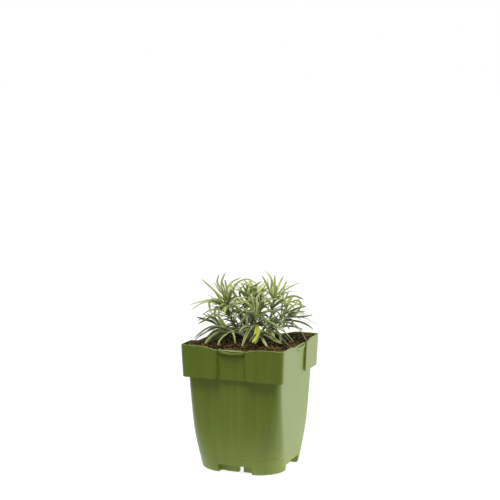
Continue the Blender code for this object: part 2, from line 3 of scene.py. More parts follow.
import bpy
import numpy as np
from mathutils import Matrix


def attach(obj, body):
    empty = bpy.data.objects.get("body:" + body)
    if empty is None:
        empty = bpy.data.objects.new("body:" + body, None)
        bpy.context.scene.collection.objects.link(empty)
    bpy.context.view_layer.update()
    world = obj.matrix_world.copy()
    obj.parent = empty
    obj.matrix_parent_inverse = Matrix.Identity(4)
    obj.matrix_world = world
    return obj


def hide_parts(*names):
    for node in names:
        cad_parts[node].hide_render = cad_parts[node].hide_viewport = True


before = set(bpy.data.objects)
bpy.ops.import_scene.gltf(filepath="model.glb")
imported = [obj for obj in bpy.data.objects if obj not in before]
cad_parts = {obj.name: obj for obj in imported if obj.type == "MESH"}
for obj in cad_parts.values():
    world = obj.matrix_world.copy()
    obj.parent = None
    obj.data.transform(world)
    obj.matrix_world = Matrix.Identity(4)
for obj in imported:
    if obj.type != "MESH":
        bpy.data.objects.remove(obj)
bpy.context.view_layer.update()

millimetre = 0.001
scene = bpy.context.scene
shuffle = np.random.default_rng(11)


def linear(hexColour):
    # sRGB hex to linear red, green, blue, alpha
    parts = [int(hexColour[i:i + 2], 16) / 255 for i in (1, 3, 5)]
    return [p / 12.92 if p <= 0.04045 else ((p + 0.055) / 1.055) ** 2.4 for p in parts] + [1.0]


def ease(t):
    # 0 to 1 with a soft start and end
    t = np.clip(t, 0.0, 1.0)
    return t * t * (3.0 - 2.0 * t)


def unit(v):
    # the same directions, one long
    return v / np.maximum(np.linalg.norm(v, axis=-1, keepdims=True), 1e-9)


def curveThrough(places, values, wanted):
    # smooth curve through rows of values: a cubic between two places, its slopes taken from their neighbours
    slopes = np.gradient(values, places, axis=0)
    wanted = np.asarray(wanted, float)
    k = np.clip(np.searchsorted(places, wanted, side="right") - 1, 0, len(places) - 2)
    span = (places[k + 1] - places[k])[..., None]
    t = np.clip((wanted - places[k])[..., None] / span, 0.0, 1.0)
    return ((2 * t**3 - 3 * t**2 + 1) * values[k] + (t**3 - 2 * t**2 + t) * span * slopes[k]
            + (3 * t**2 - 2 * t**3) * values[k + 1] + (t**3 - t**2) * span * slopes[k + 1])


def gridFaces(rows, columns):
    # four-cornered faces between neighbouring rows; the last column joins the first
    r, c = np.meshgrid(np.arange(rows - 1), np.arange(columns), indexing="ij")
    a = r * columns + c
    b = r * columns + (c + 1) % columns
    return np.stack([a, b, b + columns, a + columns], -1).reshape(-1, 4)


def fanFaces(row, columns, pole, inward=False):
    # triangles from one row of a grid to its pole
    a = row * columns + np.arange(columns)
    b = row * columns + (np.arange(columns) + 1) % columns
    middle = np.full(columns, pole)
    return np.stack([b, a, middle] if inward else [a, b, middle], -1)


def makePiece(name, points, faces, material, marks=None, sharpAngle=None):
    # an object from points in millimetres and lists of faces; marks are numbers at each point for its material
    mesh = bpy.data.meshes.new(name)
    mesh.from_pydata((np.asarray(points) * millimetre).tolist(), [], [f for part in faces for f in part.tolist()])
    for mark, values in (marks or {}).items():
        layer = mesh.attributes.new(mark, "FLOAT", "POINT").data
        layer.foreach_set("value", np.ascontiguousarray(values, np.float32))
    mesh.polygons.foreach_set("use_smooth", np.ones(len(mesh.polygons), bool))
    if sharpAngle:
        mesh.set_sharp_from_angle(angle=math.radians(sharpAngle))
    mesh.materials.append(material)
    mesh.update()
    piece = bpy.data.objects.new(name, mesh)
    scene.collection.objects.link(piece)
    return piece


def settle(piece, node):
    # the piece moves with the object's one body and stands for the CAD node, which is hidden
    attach(piece, "root")
    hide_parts(node)


def plug(tree, node, inputs):
    # fills a node's inputs by name or in order: a socket is linked, a plain value is set
    for name, value in inputs.items() if isinstance(inputs, dict) else enumerate(inputs):
        if isinstance(value, bpy.types.NodeSocket):
            tree.links.new(value, node.inputs[name])
        else:
            node.inputs[name].default_value = value


def addNode(tree, kind, inputs=(), output=0, stops=(), **settings):
    # one shader node with its settings and inputs, and a ramp's colours as (place, hex); gives one of its outputs
    node = tree.nodes.new("ShaderNode" + kind)
    for name, value in settings.items():
        setattr(node, name, value)
    plug(tree, node, inputs)
    if stops:
        line = node.color_ramp.elements
        while len(line) < len(stops):
            line.new(0.5)
        for element, (place, colour) in zip(line, stops):
            element.position, element.color = place, linear(colour)
    return node.outputs[output]


def newMaterial(name, inputs):
    # a Principled material whose inputs are the same all over, with the object coordinates its patterns read
    material = bpy.data.materials.new(name)
    material.use_nodes = True
    tree = material.node_tree
    shader = tree.nodes["Principled BSDF"]
    plug(tree, shader, inputs)
    return material, tree, shader, addNode(tree, "TexCoord", output="Object")


def grain(place, size, detail=3.0, roughness=0.55):
    # what a noise takes so that its lumps are about size millimetres across
    return {"Vector": place, "Scale": 1.0 / (size * millimetre), "Detail": detail, "Roughness": roughness}


def relief(height, depth, strength=1.0, **under):
    # what a bump takes so that its relief is depth millimetres high, over the Normal of another bump
    return {"Height": height, "Distance": depth * millimetre, "Strength": strength, **under}


def potPlastic():
    # injection-moulded olive polypropylene: satin, with flow streaks from gate to rim and a fine orange peel
    material, tree, shader, place = newMaterial("moulded olive polypropylene", {"IOR": 1.49})
    drawn = addNode(tree, "Mapping", {"Vector": place, "Scale": (1.0, 1.0, 0.05)})
    streaks = addNode(tree, "TexNoise", grain(drawn, 7.0, 2.0, 0.5))
    cloud = addNode(tree, "TexNoise", grain(place, 38.0, 2.0))
    peel = addNode(tree, "TexNoise", grain(place, 0.9, 2.0))
    colour = addNode(tree, "ValToRGB", [addNode(tree, "MapRange", [streaks, 0.25, 0.75])],
                     stops=[(0.0, "#62741A"), (0.5, "#687B1C"), (1.0, "#6F8221")])
    # painted light: paler in cloudy patches over the lowest 45 mm, standing in for light bounced up from the floor;
    # the same patches are a little rougher
    low = addNode(tree, "MapRange", [addNode(tree, "SeparateXYZ", [place], "Z"), 0.045, 0.002])
    paintedBounceLight = addNode(tree, "Math", [low, addNode(tree, "MapRange", [cloud, 0.3, 0.7])], operation="MULTIPLY")
    paintedBounceShare = addNode(tree, "MapRange", [paintedBounceLight, 0.0, 1.0, 0.0, 0.45])
    colour = addNode(tree, "Mix", {0: paintedBounceShare, 6: colour, 7: linear("#87953F")}, 2, data_type="RGBA")
    rough = addNode(tree, "Math", [addNode(tree, "MapRange", [streaks, 0.3, 0.7, 0.34, 0.42]),
                                   addNode(tree, "MapRange", [paintedBounceLight, 0.0, 1.0, 0.0, 0.1])], operation="ADD")
    flow = addNode(tree, "Bump", relief(streaks, 0.12, 0.6))
    normal = addNode(tree, "Bump", relief(peel, 0.02, 0.7, Normal=flow))
    plug(tree, shader, {"Base Color": colour, "Roughness": rough, "Normal": normal})
    return material


def dampPatches(tree, place, colour):
    # soaked patches about 9 mm across, near black
    soaked = addNode(tree, "MapRange", [addNode(tree, "TexNoise", grain(place, 9.0, 2.0)), 0.5, 0.6, 0.0, 0.75])
    return addNode(tree, "Mix", {0: soaked, 6: colour, 7: linear("#0B0803")}, 2, data_type="RGBA")


def peat():
    # dark milled peat with red-brown bark dust: rough, with damp patches, and darkest in the hollows of its bump,
    # which is painted shade
    material, tree, shader, place = newMaterial("milled peat and bark dust", {"IOR": 1.33})
    clods = addNode(tree, "TexNoise", grain(place, 4.5, 4.0, 0.62))
    dust = addNode(tree, "TexNoise", grain(place, 0.9, 3.0, 0.7))
    # painted shade: the colour follows the same clods as the bump, so the hollows are darkest
    base = addNode(tree, "ValToRGB", [addNode(tree, "MapRange", [clods, 0.3, 0.7])],
                   stops=[(0.0, "#0A0702"), (0.4, "#241804"), (0.7, "#523A0C"), (1.0, "#7C6226")])
    bark = addNode(tree, "MapRange", [dust, 0.56, 0.8])
    colour = addNode(tree, "Mix", {0: bark, 6: base, 7: linear("#84502A")}, 2, data_type="RGBA")
    rough = addNode(tree, "MapRange", [clods, 0.3, 0.7, 0.72, 0.95])
    coarse = addNode(tree, "Bump", relief(clods, 0.8))
    normal = addNode(tree, "Bump", relief(dust, 0.35, Normal=coarse))
    plug(tree, shader, {"Base Color": dampPatches(tree, place, colour), "Roughness": rough, "Normal": normal})
    return material


def crumbPeat():
    # loose crumbs of peat and composted bark, each its own brown
    material, tree, shader, place = newMaterial("loose peat crumbs", {"IOR": 1.33})
    dust = addNode(tree, "TexNoise", grain(place, 0.5, 3.0, 0.7))
    colour = addNode(tree, "ValToRGB", [addNode(tree, "Attribute", output="Fac", attribute_name="tone")], stops=[
        (0.0, "#0C0902"), (0.35, "#2A1C04"), (0.6, "#5A420E"), (0.8, "#80602A"), (0.95, "#A88A50")])
    dusty = addNode(tree, "MapRange", [dust, 0.4, 0.8, 0.0, 0.6])
    colour = addNode(tree, "Mix", {0: dusty, 6: colour, 7: linear("#1E1206")}, 2, data_type="RGBA")
    rough = addNode(tree, "MapRange", [dust, 0.3, 0.7, 0.7, 0.95])
    normal = addNode(tree, "Bump", relief(dust, 0.2))
    plug(tree, shader, {"Base Color": dampPatches(tree, place, colour), "Roughness": rough, "Normal": normal})
    return material


def cocoFibre():
    # coarse coco and root fibres, straw to red-brown, dull
    material, tree, shader, place = newMaterial("coco and root fibre", {"IOR": 1.45})
    mottle = addNode(tree, "TexNoise", grain(place, 1.2, 2.0))
    colour = addNode(tree, "ValToRGB", [addNode(tree, "Attribute", output="Fac", attribute_name="tone")], stops=[
        (0.0, "#46280C"), (0.4, "#7E5822"), (0.75, "#AC8A48"), (1.0, "#CDB880")])
    stained = addNode(tree, "MapRange", [mottle, 0.35, 0.8, 0.0, 0.5])
    colour = addNode(tree, "Mix", {0: stained, 6: colour, 7: linear("#2B1708")}, 2, data_type="RGBA")
    rough = addNode(tree, "MapRange", [mottle, 0.3, 0.7, 0.6, 0.85])
    plug(tree, shader, {"Base Color": colour, "Roughness": rough})
    return material


def perliteFoam():
    # expanded perlite: off-white, chalky, full of tiny pits
    material, tree, shader, place = newMaterial("expanded perlite", {"IOR": 1.5})
    pits = addNode(tree, "TexNoise", grain(place, 0.5, 3.0, 0.7))
    colour = addNode(tree, "ValToRGB", [pits], stops=[(0.3, "#9B8F78"), (0.55, "#D9D3C2"), (0.8, "#EDE9DD")])
    rough = addNode(tree, "MapRange", [pits, 0.3, 0.7, 0.8, 0.95])
    normal = addNode(tree, "Bump", relief(pits, 0.25))
    plug(tree, shader, {"Base Color": colour, "Roughness": rough, "Normal": normal})
    return material


def crownBark():
    # woody base: grey-brown, split lengthways
    material, tree, shader, place = newMaterial("split crown bark", {"IOR": 1.45})
    drawn = addNode(tree, "Mapping", {"Vector": place, "Scale": (1.0, 1.0, 0.25)})
    splits = addNode(tree, "TexNoise", grain(drawn, 1.1, 4.0, 0.65))
    colour = addNode(tree, "ValToRGB", [addNode(tree, "MapRange", [splits, 0.3, 0.7])],
                     stops=[(0.0, "#2A1D10"), (1.0, "#6E5B3C")])
    rough = addNode(tree, "MapRange", [splits, 0.3, 0.7, 0.75, 0.92])
    normal = addNode(tree, "Bump", relief(splits, 0.35))
    plug(tree, shader, {"Base Color": colour, "Roughness": rough, "Normal": normal})
    return material


def feltedStem():
    # young stem under white wool: pale green at the tip, browner and barer towards the crown
    material, tree, shader, place = newMaterial("woolly young stem", {
        "IOR": 1.45, "Sheen Weight": 0.25, "Sheen Roughness": 0.6})
    wool = addNode(tree, "TexNoise", grain(place, 0.5, 3.0, 0.6))
    colour = addNode(tree, "ValToRGB", [addNode(tree, "Attribute", output="Fac", attribute_name="along")], stops=[
        (0.0, "#4E4426"), (0.35, "#5E6232"), (0.7, "#7F8E4C"), (1.0, "#98A666")])
    woolly = addNode(tree, "MapRange", [wool, 0.45, 0.8, 0.0, 0.5])
    colour = addNode(tree, "Mix", {0: woolly, 6: colour, 7: linear("#C9CFB2")}, 2, data_type="RGBA")
    rough = addNode(tree, "MapRange", [wool, 0.3, 0.7, 0.6, 0.8])
    normal = addNode(tree, "Bump", relief(wool, 0.12))
    plug(tree, shader, {"Base Color": colour, "Roughness": rough, "Normal": normal})
    return material


def feltedLeaf(name, deep, middle, pale, wool):
    # blade under a thin grey felt: greener along the midrib groove and paler at the edges; darker at the foot and
    # paler at the tip, painted shade deep in the tuft and painted light on the tips
    material, tree, shader, place = newMaterial(name, {"IOR": 1.4, "Sheen Weight": 0.06, "Sheen Roughness": 0.5})
    tone, along, across = [addNode(tree, "Attribute", output="Fac", attribute_name=mark)
                           for mark in ("tone", "along", "across")]
    blotch = addNode(tree, "TexNoise", grain(place, 6.0, 2.0))
    hairs = addNode(tree, "TexNoise", grain(place, 0.45, 3.0, 0.65))
    shade = addNode(tree, "Math", [tone, addNode(tree, "MapRange", [blotch, 0.3, 0.7, -0.12, 0.12])],
                    operation="ADD")
    # painted shade and light: darker towards the leaf's foot inside the tuft, paler towards its tip
    shade = addNode(tree, "Math", [shade, addNode(tree, "MapRange", [along, 0.0, 1.0, -0.1, 0.14])],
                    operation="ADD", use_clamp=True)
    colour = addNode(tree, "ValToRGB", [shade], stops=[(0.0, deep), (0.5, middle), (1.0, pale)])
    felt = addNode(tree, "Math", [addNode(tree, "MapRange", [hairs, 0.4, 0.75, 0.0, 0.25]),
                                  addNode(tree, "MapRange", [across, 0.55, 1.0, 0.0, 0.2])],
                   operation="ADD", use_clamp=True)
    colour = addNode(tree, "Mix", {0: felt, 6: colour, 7: linear(wool)}, 2, data_type="RGBA")
    rough = addNode(tree, "MapRange", [hairs, 0.3, 0.7, 0.5, 0.7])
    normal = addNode(tree, "Bump", relief(hairs, 0.06))
    plug(tree, shader, {"Base Color": colour, "Roughness": rough, "Normal": normal})
    return material


plastic = potPlastic()
peatDark = peat()
crumbSkin = crumbPeat()
fibreSkin = cocoFibre()
perliteSkin = perliteFoam()
barkSkin = crownBark()
stemSkin = feltedStem()
leafSkin = feltedLeaf("grey felted leaf", "#34460A", "#95A546", "#D6DCA2", "#E2E5C4")
yellowSkin = feltedLeaf("yellowing leaf", "#9CA218", "#B6BC26", "#C8CC42", "#D8DA80")
print("materials ready")


potSizes = {
    "height": 130.5, "rimHalf": 55.3, "wall": 1.2,
    "rimDip": 2.6, "dipStart": 15.0, "dipReach": 16.0,
    "bandHeight": 33.0, "bandLean": 1.4, "bandRadius": 4.5,
    "cupRadius": 7.0, "footRadius": 28.0, "roundHeight": 98.0, "roundFall": 1.6,
    "recessHalf": 15.0, "recessDepth": 2.1, "stepWidth": 1.0, "panelCorner": 3.5,
    "seam": 0.45, "seamPlace": 14.0, "seamWidth": 0.8,
    "lipEnds": 2.7, "lipMiddle": 2.2, "lipWall": 1.1, "lipSag": 2.2, "lipGroove": 0.35, "lipLevel": 7.0,
    "slotHalf": 11.5, "slotDepth": 11.0,
    "floor": 10.5, "underside": 8.7, "footHalf": 18.0, "footWall": 2.0, "footEnd": 43.2, "liftTop": 15.0,
    "ridgeHeight": 17.5, "ridge": 0.22, "ridgeWidth": 0.35, "holeRadius": 4.0, "holeOffset": 22.0,
    # lugs as (left, right, front), all back to one line
    "lugs": [(-18.3, -11.0, -36.8), (-11.5, 2.0, -38.0), (6.5, 15.3, -37.0)], "lugBack": -34.0,
    # half width of the cup at each height
    "cup": [(0, 43.0), (1, 44.2), (3, 44.8), (5, 45.0), (12, 45.6), (25, 46.9), (40, 48.0),
            (55, 48.5), (70, 48.8), (98, 49.7), (129, 50.65)],
    # half width and corner radius of the underside, then height, half width and radius round the foot's edge
    "undersideSquare": (40.7, 25.5),
    "footEdge": [(0.5, 40.9, 25.7), (0.12, 41.2, 26.0), (0.0, 41.8, 26.6)],
    # heights of the rows of points: outside of the cup and the band, about the lip's lower edge, and inside
    "cupRows": (0.0, 0.25, 0.6, 1.0, 1.5, 2.2, 3.2, 4.6, 6.4, 8.6, 11.0, 13.5, 15.5, 16.7, 17.15, 17.35, 17.5,
                17.65, 17.85, 18.4, 21, 25, 30, 36, 43, 50, 58, 66, 74, 82, 90, 95, 96.8),
    "bandRows": (97.95, 98.4, 99.0, 99.7, 100.5, 101.5, 103, 106, 110, 114),
    "lipRows": (-4.0, -1.2, -0.6, -0.3, -0.1, 0.1, 0.35, 0.7, 1.3),
    "innerRows": (123.5, 118, 112, 106, 101.5, 99.4),
    "insideRows": (98.2, 96, 84, 70, 55, 40, 32, 25, 19, 15),
}


def cupHalf(z):
    heights, halves = np.array(potSizes["cup"], float).T
    return curveThrough(heights, halves[:, None], z)[..., 0]


def cupRadius(z):
    # corner radius: wide at the feet, tight at the rim
    size = potSizes
    fall = np.maximum(0.0, 1.0 - z / size["roundHeight"])**size["roundFall"]
    return size["cupRadius"] + (size["footRadius"] - size["cupRadius"]) * fall


def lipInsetAt(along):
    # the lip bows out almost flush with the panels and falls back to the recess at its ends
    return potSizes["recessDepth"] * 0.9 * (np.abs(along) / potSizes["recessHalf"])**4


def rimDip(along):
    # the rim hangs lower in the middle of each side than at its corners
    return potSizes["rimDip"] * (1.0 - ease((np.abs(along) - potSizes["dipStart"]) / potSizes["dipReach"]))


# places along half a side, closer together at the edges of the recess and of the feet
halfSide = np.unique(np.round(np.concatenate([np.linspace(0, 13.5, 10), np.linspace(14.0, 16.0, 11),
                                              [16.5, 17.0, 17.5], np.linspace(17.8, 18.2, 5),
                                              [18.6, 19.4, 20.6, 22.2, 24.0]]), 3))
cornerSteps = np.linspace(0.0, 1.0, 15)[1:]


def squareRing(half, radius, shift=0.0):
    # rounded square as (along, out, station) for one side: straight up to half - radius, then an arc to the
    # diagonal; shift slides the places near the recess edge along the side
    half, radius, shift = np.broadcast_arrays(*np.atleast_1d(half, radius, shift))
    half, radius, shift = half[:, None], radius[:, None], shift[:, None]
    straight = half - radius
    near = halfSide[None] + shift * (1.0 - ease(np.abs(halfSide - potSizes["recessHalf"]) / 7.0))[None]
    over = np.clip((near - straight) / radius, 0.0, 1.0)
    outNear = straight + radius * np.sqrt(1.0 - over**2)
    last = halfSide[-1]
    firstAngle = np.arcsin(np.clip((last - straight) / radius, 0.0, 1.0))
    flat = np.maximum(0.0, straight - last)
    arc = radius * (math.pi / 4 - firstAngle)
    share = flat / (flat + 8.0 * arc)
    onFlat = cornerSteps[None] <= share
    angle = firstAngle + (math.pi / 4 - firstAngle) * np.clip((cornerSteps[None] - share) / (1.0 - share), 0.0, 1.0)
    alongFlat = last + flat * cornerSteps[None] / np.maximum(share, 1e-6)
    alongFar = np.where(onFlat, alongFlat, straight + radius * np.sin(angle))
    outFar = np.where(onFlat, half, straight + radius * np.cos(angle))
    along = np.concatenate([near, alongFar], 1)
    out = np.concatenate([outNear, outFar], 1)
    station = np.concatenate([halfSide, last + cornerSteps * 20.0])
    station = np.broadcast_to(station, along.shape)
    # mirror to the whole side and drop the shared diagonal at one end
    along = np.concatenate([-along[:, :0:-1], along], 1)[:, 1:]
    out = np.concatenate([out[:, :0:-1], out], 1)[:, 1:]
    station = np.concatenate([station[:, :0:-1], station], 1)[:, 1:]
    return along, out, station


def turnedSides(along, out, z):
    # the four sides of a ring from one side: each is a quarter turn on from the last
    sides = [np.stack([c * out - s * along, s * out + c * along, z], -1)
             for c, s in ((0, -1), (1, 0), (0, 1), (-1, 0))]
    return np.concatenate(sides, 1)


def potRows():
    # profile of the pot as rows (kind, z, half, radius, scale): underside, foot, cup, band, lip, rim, inside, floor
    size = potSizes
    low, wall = size["height"] - size["bandHeight"], size["wall"]
    scales = (0.3, 0.6, 0.85, 1.0)
    rows = [("plain", size["underside"], *size["undersideSquare"], scale) for scale in scales]
    rows += [("foot", *edge, 1) for edge in size["footEdge"]]
    rows += [("cup", z, 0, 0, 1) for z in (*size["cupRows"], low)]
    # the band stands out from the cup on a flat shoulder
    rows += [("band", z, away, 0, 1) for z, away in ((low, -1.2), (low, -0.4), (low + 0.1, -0.1))]
    rows += [("band", z, 0.0, 0, 1) for z in size["bandRows"]]
    rows += [("lip", above, 0.0, 0, 1) for above in size["lipRows"]]
    rows += [("lipTop", z, away, 0, 1) for z, away in ((-1.0, 0.0), (-0.5, -0.09), (-0.16, -0.28), (0.0, -0.56))]
    rows += [("lipBack", 0.0, 0.55 - wall, 0, 1)]
    rows += [("wallTop", z, away - wall, 0, 1) for z, away in ((0.0, 0.3), (-0.1, 0.06), (-0.4, 0.0))]
    rows += [("inner", z, -wall, 0, 1) for z in (*size["innerRows"], low + wall + 0.3)]
    rows += [("inner", low + wall, -wall - 0.3, 0, 1),
             ("plain", low + wall, float(cupHalf(low)) - wall + 0.3, 4.0, 1)]
    rows += [("inside", z, 0, 0, 1) for z in size["insideRows"]]
    # rounded foot of the inside, then the floor
    rows += [("plain", z, float(cupHalf(z)) - inset, radius, 1)
             for z, inset, radius in ((12.5, 1.8, 21.5), (11.0, 3.0, 21.0))]
    rows += [("plain", size["floor"], float(cupHalf(size["floor"])) - 4.2, 20.5, scale) for scale in scales[::-1]]
    return rows


def makePotShell():
    # every row is a rounded square; recess, lip, dip and feet then move its points in, out, up or down
    size = potSizes
    top = size["height"]
    low = top - size["bandHeight"]
    layers = []
    for kind, z, half, radius, scale in potRows():
        shift = 0.0
        if kind in ("cup", "inside"):
            half, radius = float(cupHalf(z)), float(cupRadius(z))
            if kind == "cup":
                half += size["ridge"] * max(0.0, 1.0 - abs(z - size["ridgeHeight"]) / size["ridgeWidth"])
            else:
                half, radius = half - size["wall"], radius - 1.0
        if kind in ("inner", "band", "lip", "lipTop", "lipBack", "wallTop"):
            height = {"lip": top - size["lipLevel"], "band": z, "inner": z}.get(kind, top)
            away = half
            half = size["rimHalf"] - size["bandLean"] * (top - height) / size["bandHeight"] + away
            radius = size["bandRadius"] + away
            near = np.clip(1.0 - (height - low) / size["panelCorner"], 0.0, 1.0)
            shift = size["panelCorner"] * (1.0 - math.sqrt(1.0 - near**2))
        along, out, station = squareRing(half, radius, shift)
        inRecess = 1.0 - ease((station - size["recessHalf"]) / size["stepWidth"] + 0.5)
        height = np.full_like(along, float(z))
        share = np.abs(along) / size["recessHalf"]
        bow = np.clip(1.0 - share**2, 0.0, 1.0)
        lipInset = lipInsetAt(np.minimum(np.abs(along), size["recessHalf"])) * inRecess
        # a shallow seam runs beside each edge of the recess
        seam = size["seam"] * np.maximum(0.0, 1.0 - np.abs(station - size["seamPlace"]) / size["seamWidth"])
        recess = size["recessDepth"] * inRecess + seam * (kind == "band")
        if kind in ("foot", "cup"):
            # the wall ends higher between the feet
            lift = (size["underside"] - 0.4) * (1.0 - ease((station - size["footHalf"] + 0.2) / 0.4))
            if kind == "foot":
                height = np.minimum(lift + z, size["underside"])
            elif z < size["liftTop"]:
                height = lift + (size["liftTop"] - lift) * z / size["liftTop"]
                # the same outline, moved to the width that belongs to the lifted height
                out = out + cupHalf(height) - cupHalf(np.full_like(height, z))
        if kind in ("inner", "band"):
            out = out - recess
        if kind == "lip":
            edge = top - rimDip(along) - size["lipEnds"] - size["lipMiddle"] * bow
            height = edge + z
            out = out + size["bandLean"] * (height - (top - size["lipLevel"])) / size["bandHeight"]
            out = out - (lipInset if z > 0 else recess + size["lipGroove"] * (z > -0.7) * bow**0.3 * inRecess)
        if kind in ("lipTop", "lipBack"):
            height = top - rimDip(along) + z - size["lipSag"] * bow
            out = out - (lipInset if kind == "lipTop" else lipInset + (size["lipWall"] - 0.65) * inRecess)
        if kind == "wallTop":
            height = top - rimDip(along) + z
            out = out - recess
        layers.append(turnedSides(along * scale, out * scale, height)[0])
    grid = np.array(layers)
    rows, columns = grid.shape[:2]
    points = np.concatenate([grid.reshape(-1, 3), [[0, 0, size["underside"]], [0, 0, size["floor"]]]])
    faces = [gridFaces(rows, columns), fanFaces(0, columns, len(points) - 2, inward=True),
             fanFaces(rows - 1, columns, len(points) - 1)]
    return points, faces


def prism(outline, low, high, soften=0.0):
    # an outline carried straight up, its lower edge taken in by soften
    outline = np.array(outline, float)
    middle = outline.mean(0)
    inward = unit(middle - outline) * soften
    levels = [(low + soften, outline), (high, outline)]
    if soften:
        levels = [(low, outline + inward)] + levels
    points = np.concatenate([np.column_stack([level, np.full(len(level), z)]) for z, level in levels])
    count = len(outline)
    caps = [np.arange(count)[::-1][None], ((len(levels) - 1) * count + np.arange(count))[None]]
    return points, [gridFaces(len(levels), count)] + caps


def gather(parts):
    # several closed bodies as one list of points and faces
    points, faces, first = [], [], 0
    for somePoints, someFaces in parts:
        points.append(somePoints)
        faces += [part + first for part in someFaces]
        first += len(somePoints)
    return np.concatenate(points), faces


def quarterTurned(points, faces):
    # four copies, each a quarter turn about the pot's axis
    parts = []
    for c, s in ((1, 0), (0, 1), (-1, 0), (0, -1)):
        turned = points.copy()
        turned[:, 0] = c * points[:, 0] - s * points[:, 1]
        turned[:, 1] = s * points[:, 0] + c * points[:, 1]
        parts.append((turned, faces))
    return gather(parts)


def cutAway(piece, points, faces):
    # takes a closed body out of a piece
    cutter = makePiece("cutter", points, faces, plastic)
    cut = piece.modifiers.new("cut", "BOOLEAN")
    cut.object, cut.operation, cut.solver = cutter, "DIFFERENCE", "EXACT"
    graph = bpy.context.evaluated_depsgraph_get()
    mesh = bpy.data.meshes.new_from_object(piece.evaluated_get(graph))
    piece.modifiers.clear()
    piece.data = mesh
    bpy.data.objects.remove(cutter)


def makePot():
    size = potSizes
    shell = makePiece("pot_shell", *makePotShell(), plastic)
    # label slots behind the lips, and drain holes
    wallLine = -(size["rimHalf"] - size["recessDepth"] + 0.05)
    bowed = np.linspace(-size["slotHalf"], size["slotHalf"], 24)
    edge = -(size["rimHalf"] - size["lipWall"] - lipInsetAt(bowed))
    slot = list(zip(bowed, edge)) + [(size["slotHalf"], wallLine), (-size["slotHalf"], wallLine)]
    slots = quarterTurned(*prism(slot, size["height"] - size["slotDepth"], size["height"] + 2.0))
    turns = np.linspace(0, 2 * math.pi, 29)[:-1]
    hole = np.column_stack([np.cos(turns), np.sin(turns)]) * size["holeRadius"]
    centred = prism(hole, size["underside"] - 2.0, size["floor"] + 2.0)
    ringed = quarterTurned(centred[0] + [size["holeOffset"], 0, 0], centred[1])
    cutAway(shell, *gather([slots, centred, ringed]))
    # walls of the hollow feet along the drain channels, and the lugs set back in each mouth
    near, far, end = size["footHalf"], size["footHalf"] + size["footWall"], size["footEnd"]
    bars = [[(near, near), (far, near), (far, end), (near, end)],
            [(near, near), (end, near), (end, far), (near, far)]]
    lugs = [[(left, front), (right, front), (right, size["lugBack"]), (left, size["lugBack"])]
            for left, right, front in size["lugs"]]
    parts = [quarterTurned(*prism(outline, low, size["underside"] + 0.6, 0.3))
             for outline, low in [(bar, 0.15) for bar in bars] + [(lug, 0.3) for lug in lugs]]
    extra = makePiece("feet", *gather(parts), plastic)
    bpy.ops.object.select_all(action="DESELECT")
    for piece in (shell, extra):
        piece.select_set(True)
    bpy.context.view_layer.objects.active = shell
    bpy.ops.object.join()
    shell.data.polygons.foreach_set("use_smooth", np.ones(len(shell.data.polygons), bool))
    shell.data.set_sharp_from_angle(angle=math.radians(32))
    settle(shell, "pot")


makePot()
print("pot ready")


mixSizes = {
    "edge": 126.5, "rise": 1.6, "cornerRise": 1.8, "half": 53.85, "cells": 270, "foot": 119.0,
    # how far the mix stands back from the recessed middle of each wall, and how far out that reaches
    "recess": 2.1, "recessHalf": 15.6, "recessStep": 1.2,
    # what lies on it: how many, how big, and how far from the axis it may lie
    "crumbs": 2200, "crumbSizes": (0.4, 1.7), "perlite": 12, "perliteSizes": (0.4, 1.05),
    "fibres": 800, "fibreLengths": (3.0, 15.0), "fibreRadii": (0.1, 0.26), "fibreReach": 50.0,
    "reach": 51.2, "crownClear": 6.5, "recessClear": 17.5,
    # the ball below, as rows of height and inset from the cup; where the inset is 0 it fills the band
    "ball": [(10.9, 6.5), (11.4, 5.2), (13, 3.2), (17, 1.9), (25, 1.6), (40, 1.6), (55, 1.6), (70, 1.6), (85, 1.6),
             (99.1, 1.6), (99.1, 0), (101, 0), (110, 0), (118.5, 0), (119.3, 0)],
}


def mixHeight(x, y):
    # low mound that falls towards the walls and rises into the corners with the rim, with the soft lumps of
    # packed mix
    reach = np.maximum(np.abs(x), np.abs(y)) / (potSizes["rimHalf"] - 2.0)
    corner = ease((np.minimum(np.abs(x), np.abs(y)) - potSizes["dipStart"]) / potSizes["dipReach"])
    lumps = 0.35 * np.sin(0.21 * x + 0.4) * np.cos(0.17 * y - 0.6) + 0.2 * np.sin(0.43 * x - 0.31 * y)
    return (mixSizes["edge"] + mixSizes["rise"] * (1.0 - ease(reach)) + mixSizes["cornerRise"] * corner
            + lumps * ease(reach * 4.0))


def waves(x, y, size, count, seed):
    # sum of plane waves of about one size in all directions, between about -1 and 1
    pick = np.random.default_rng(seed)
    total = np.zeros_like(x)
    for angle, phase, length in zip(pick.uniform(0, math.pi, count), pick.uniform(0, 2 * math.pi, count),
                                    pick.uniform(0.7, 1.4, count) * size):
        total += np.sin((x * math.cos(angle) + y * math.sin(angle)) * 2 * math.pi / length + phase)
    return total / math.sqrt(count)


def clods(x, y):
    # broken surface: folded waves give rounded crumbs with sharp gaps between them
    coarse = 1.0 - np.abs(waves(x, y, 11.0, 9, 1))
    middle = 1.0 - np.abs(waves(x, y, 5.0, 11, 2))
    fine = 1.0 - np.abs(waves(x, y, 2.2, 13, 3))
    return 0.55 * coarse + 0.55 * middle + 0.4 * fine - 0.6


def mixRecess(along):
    # how far the mix stands back at a place along a wall
    return mixSizes["recess"] * (1.0 - ease((np.abs(along) - mixSizes["recessHalf"]) / mixSizes["recessStep"]))


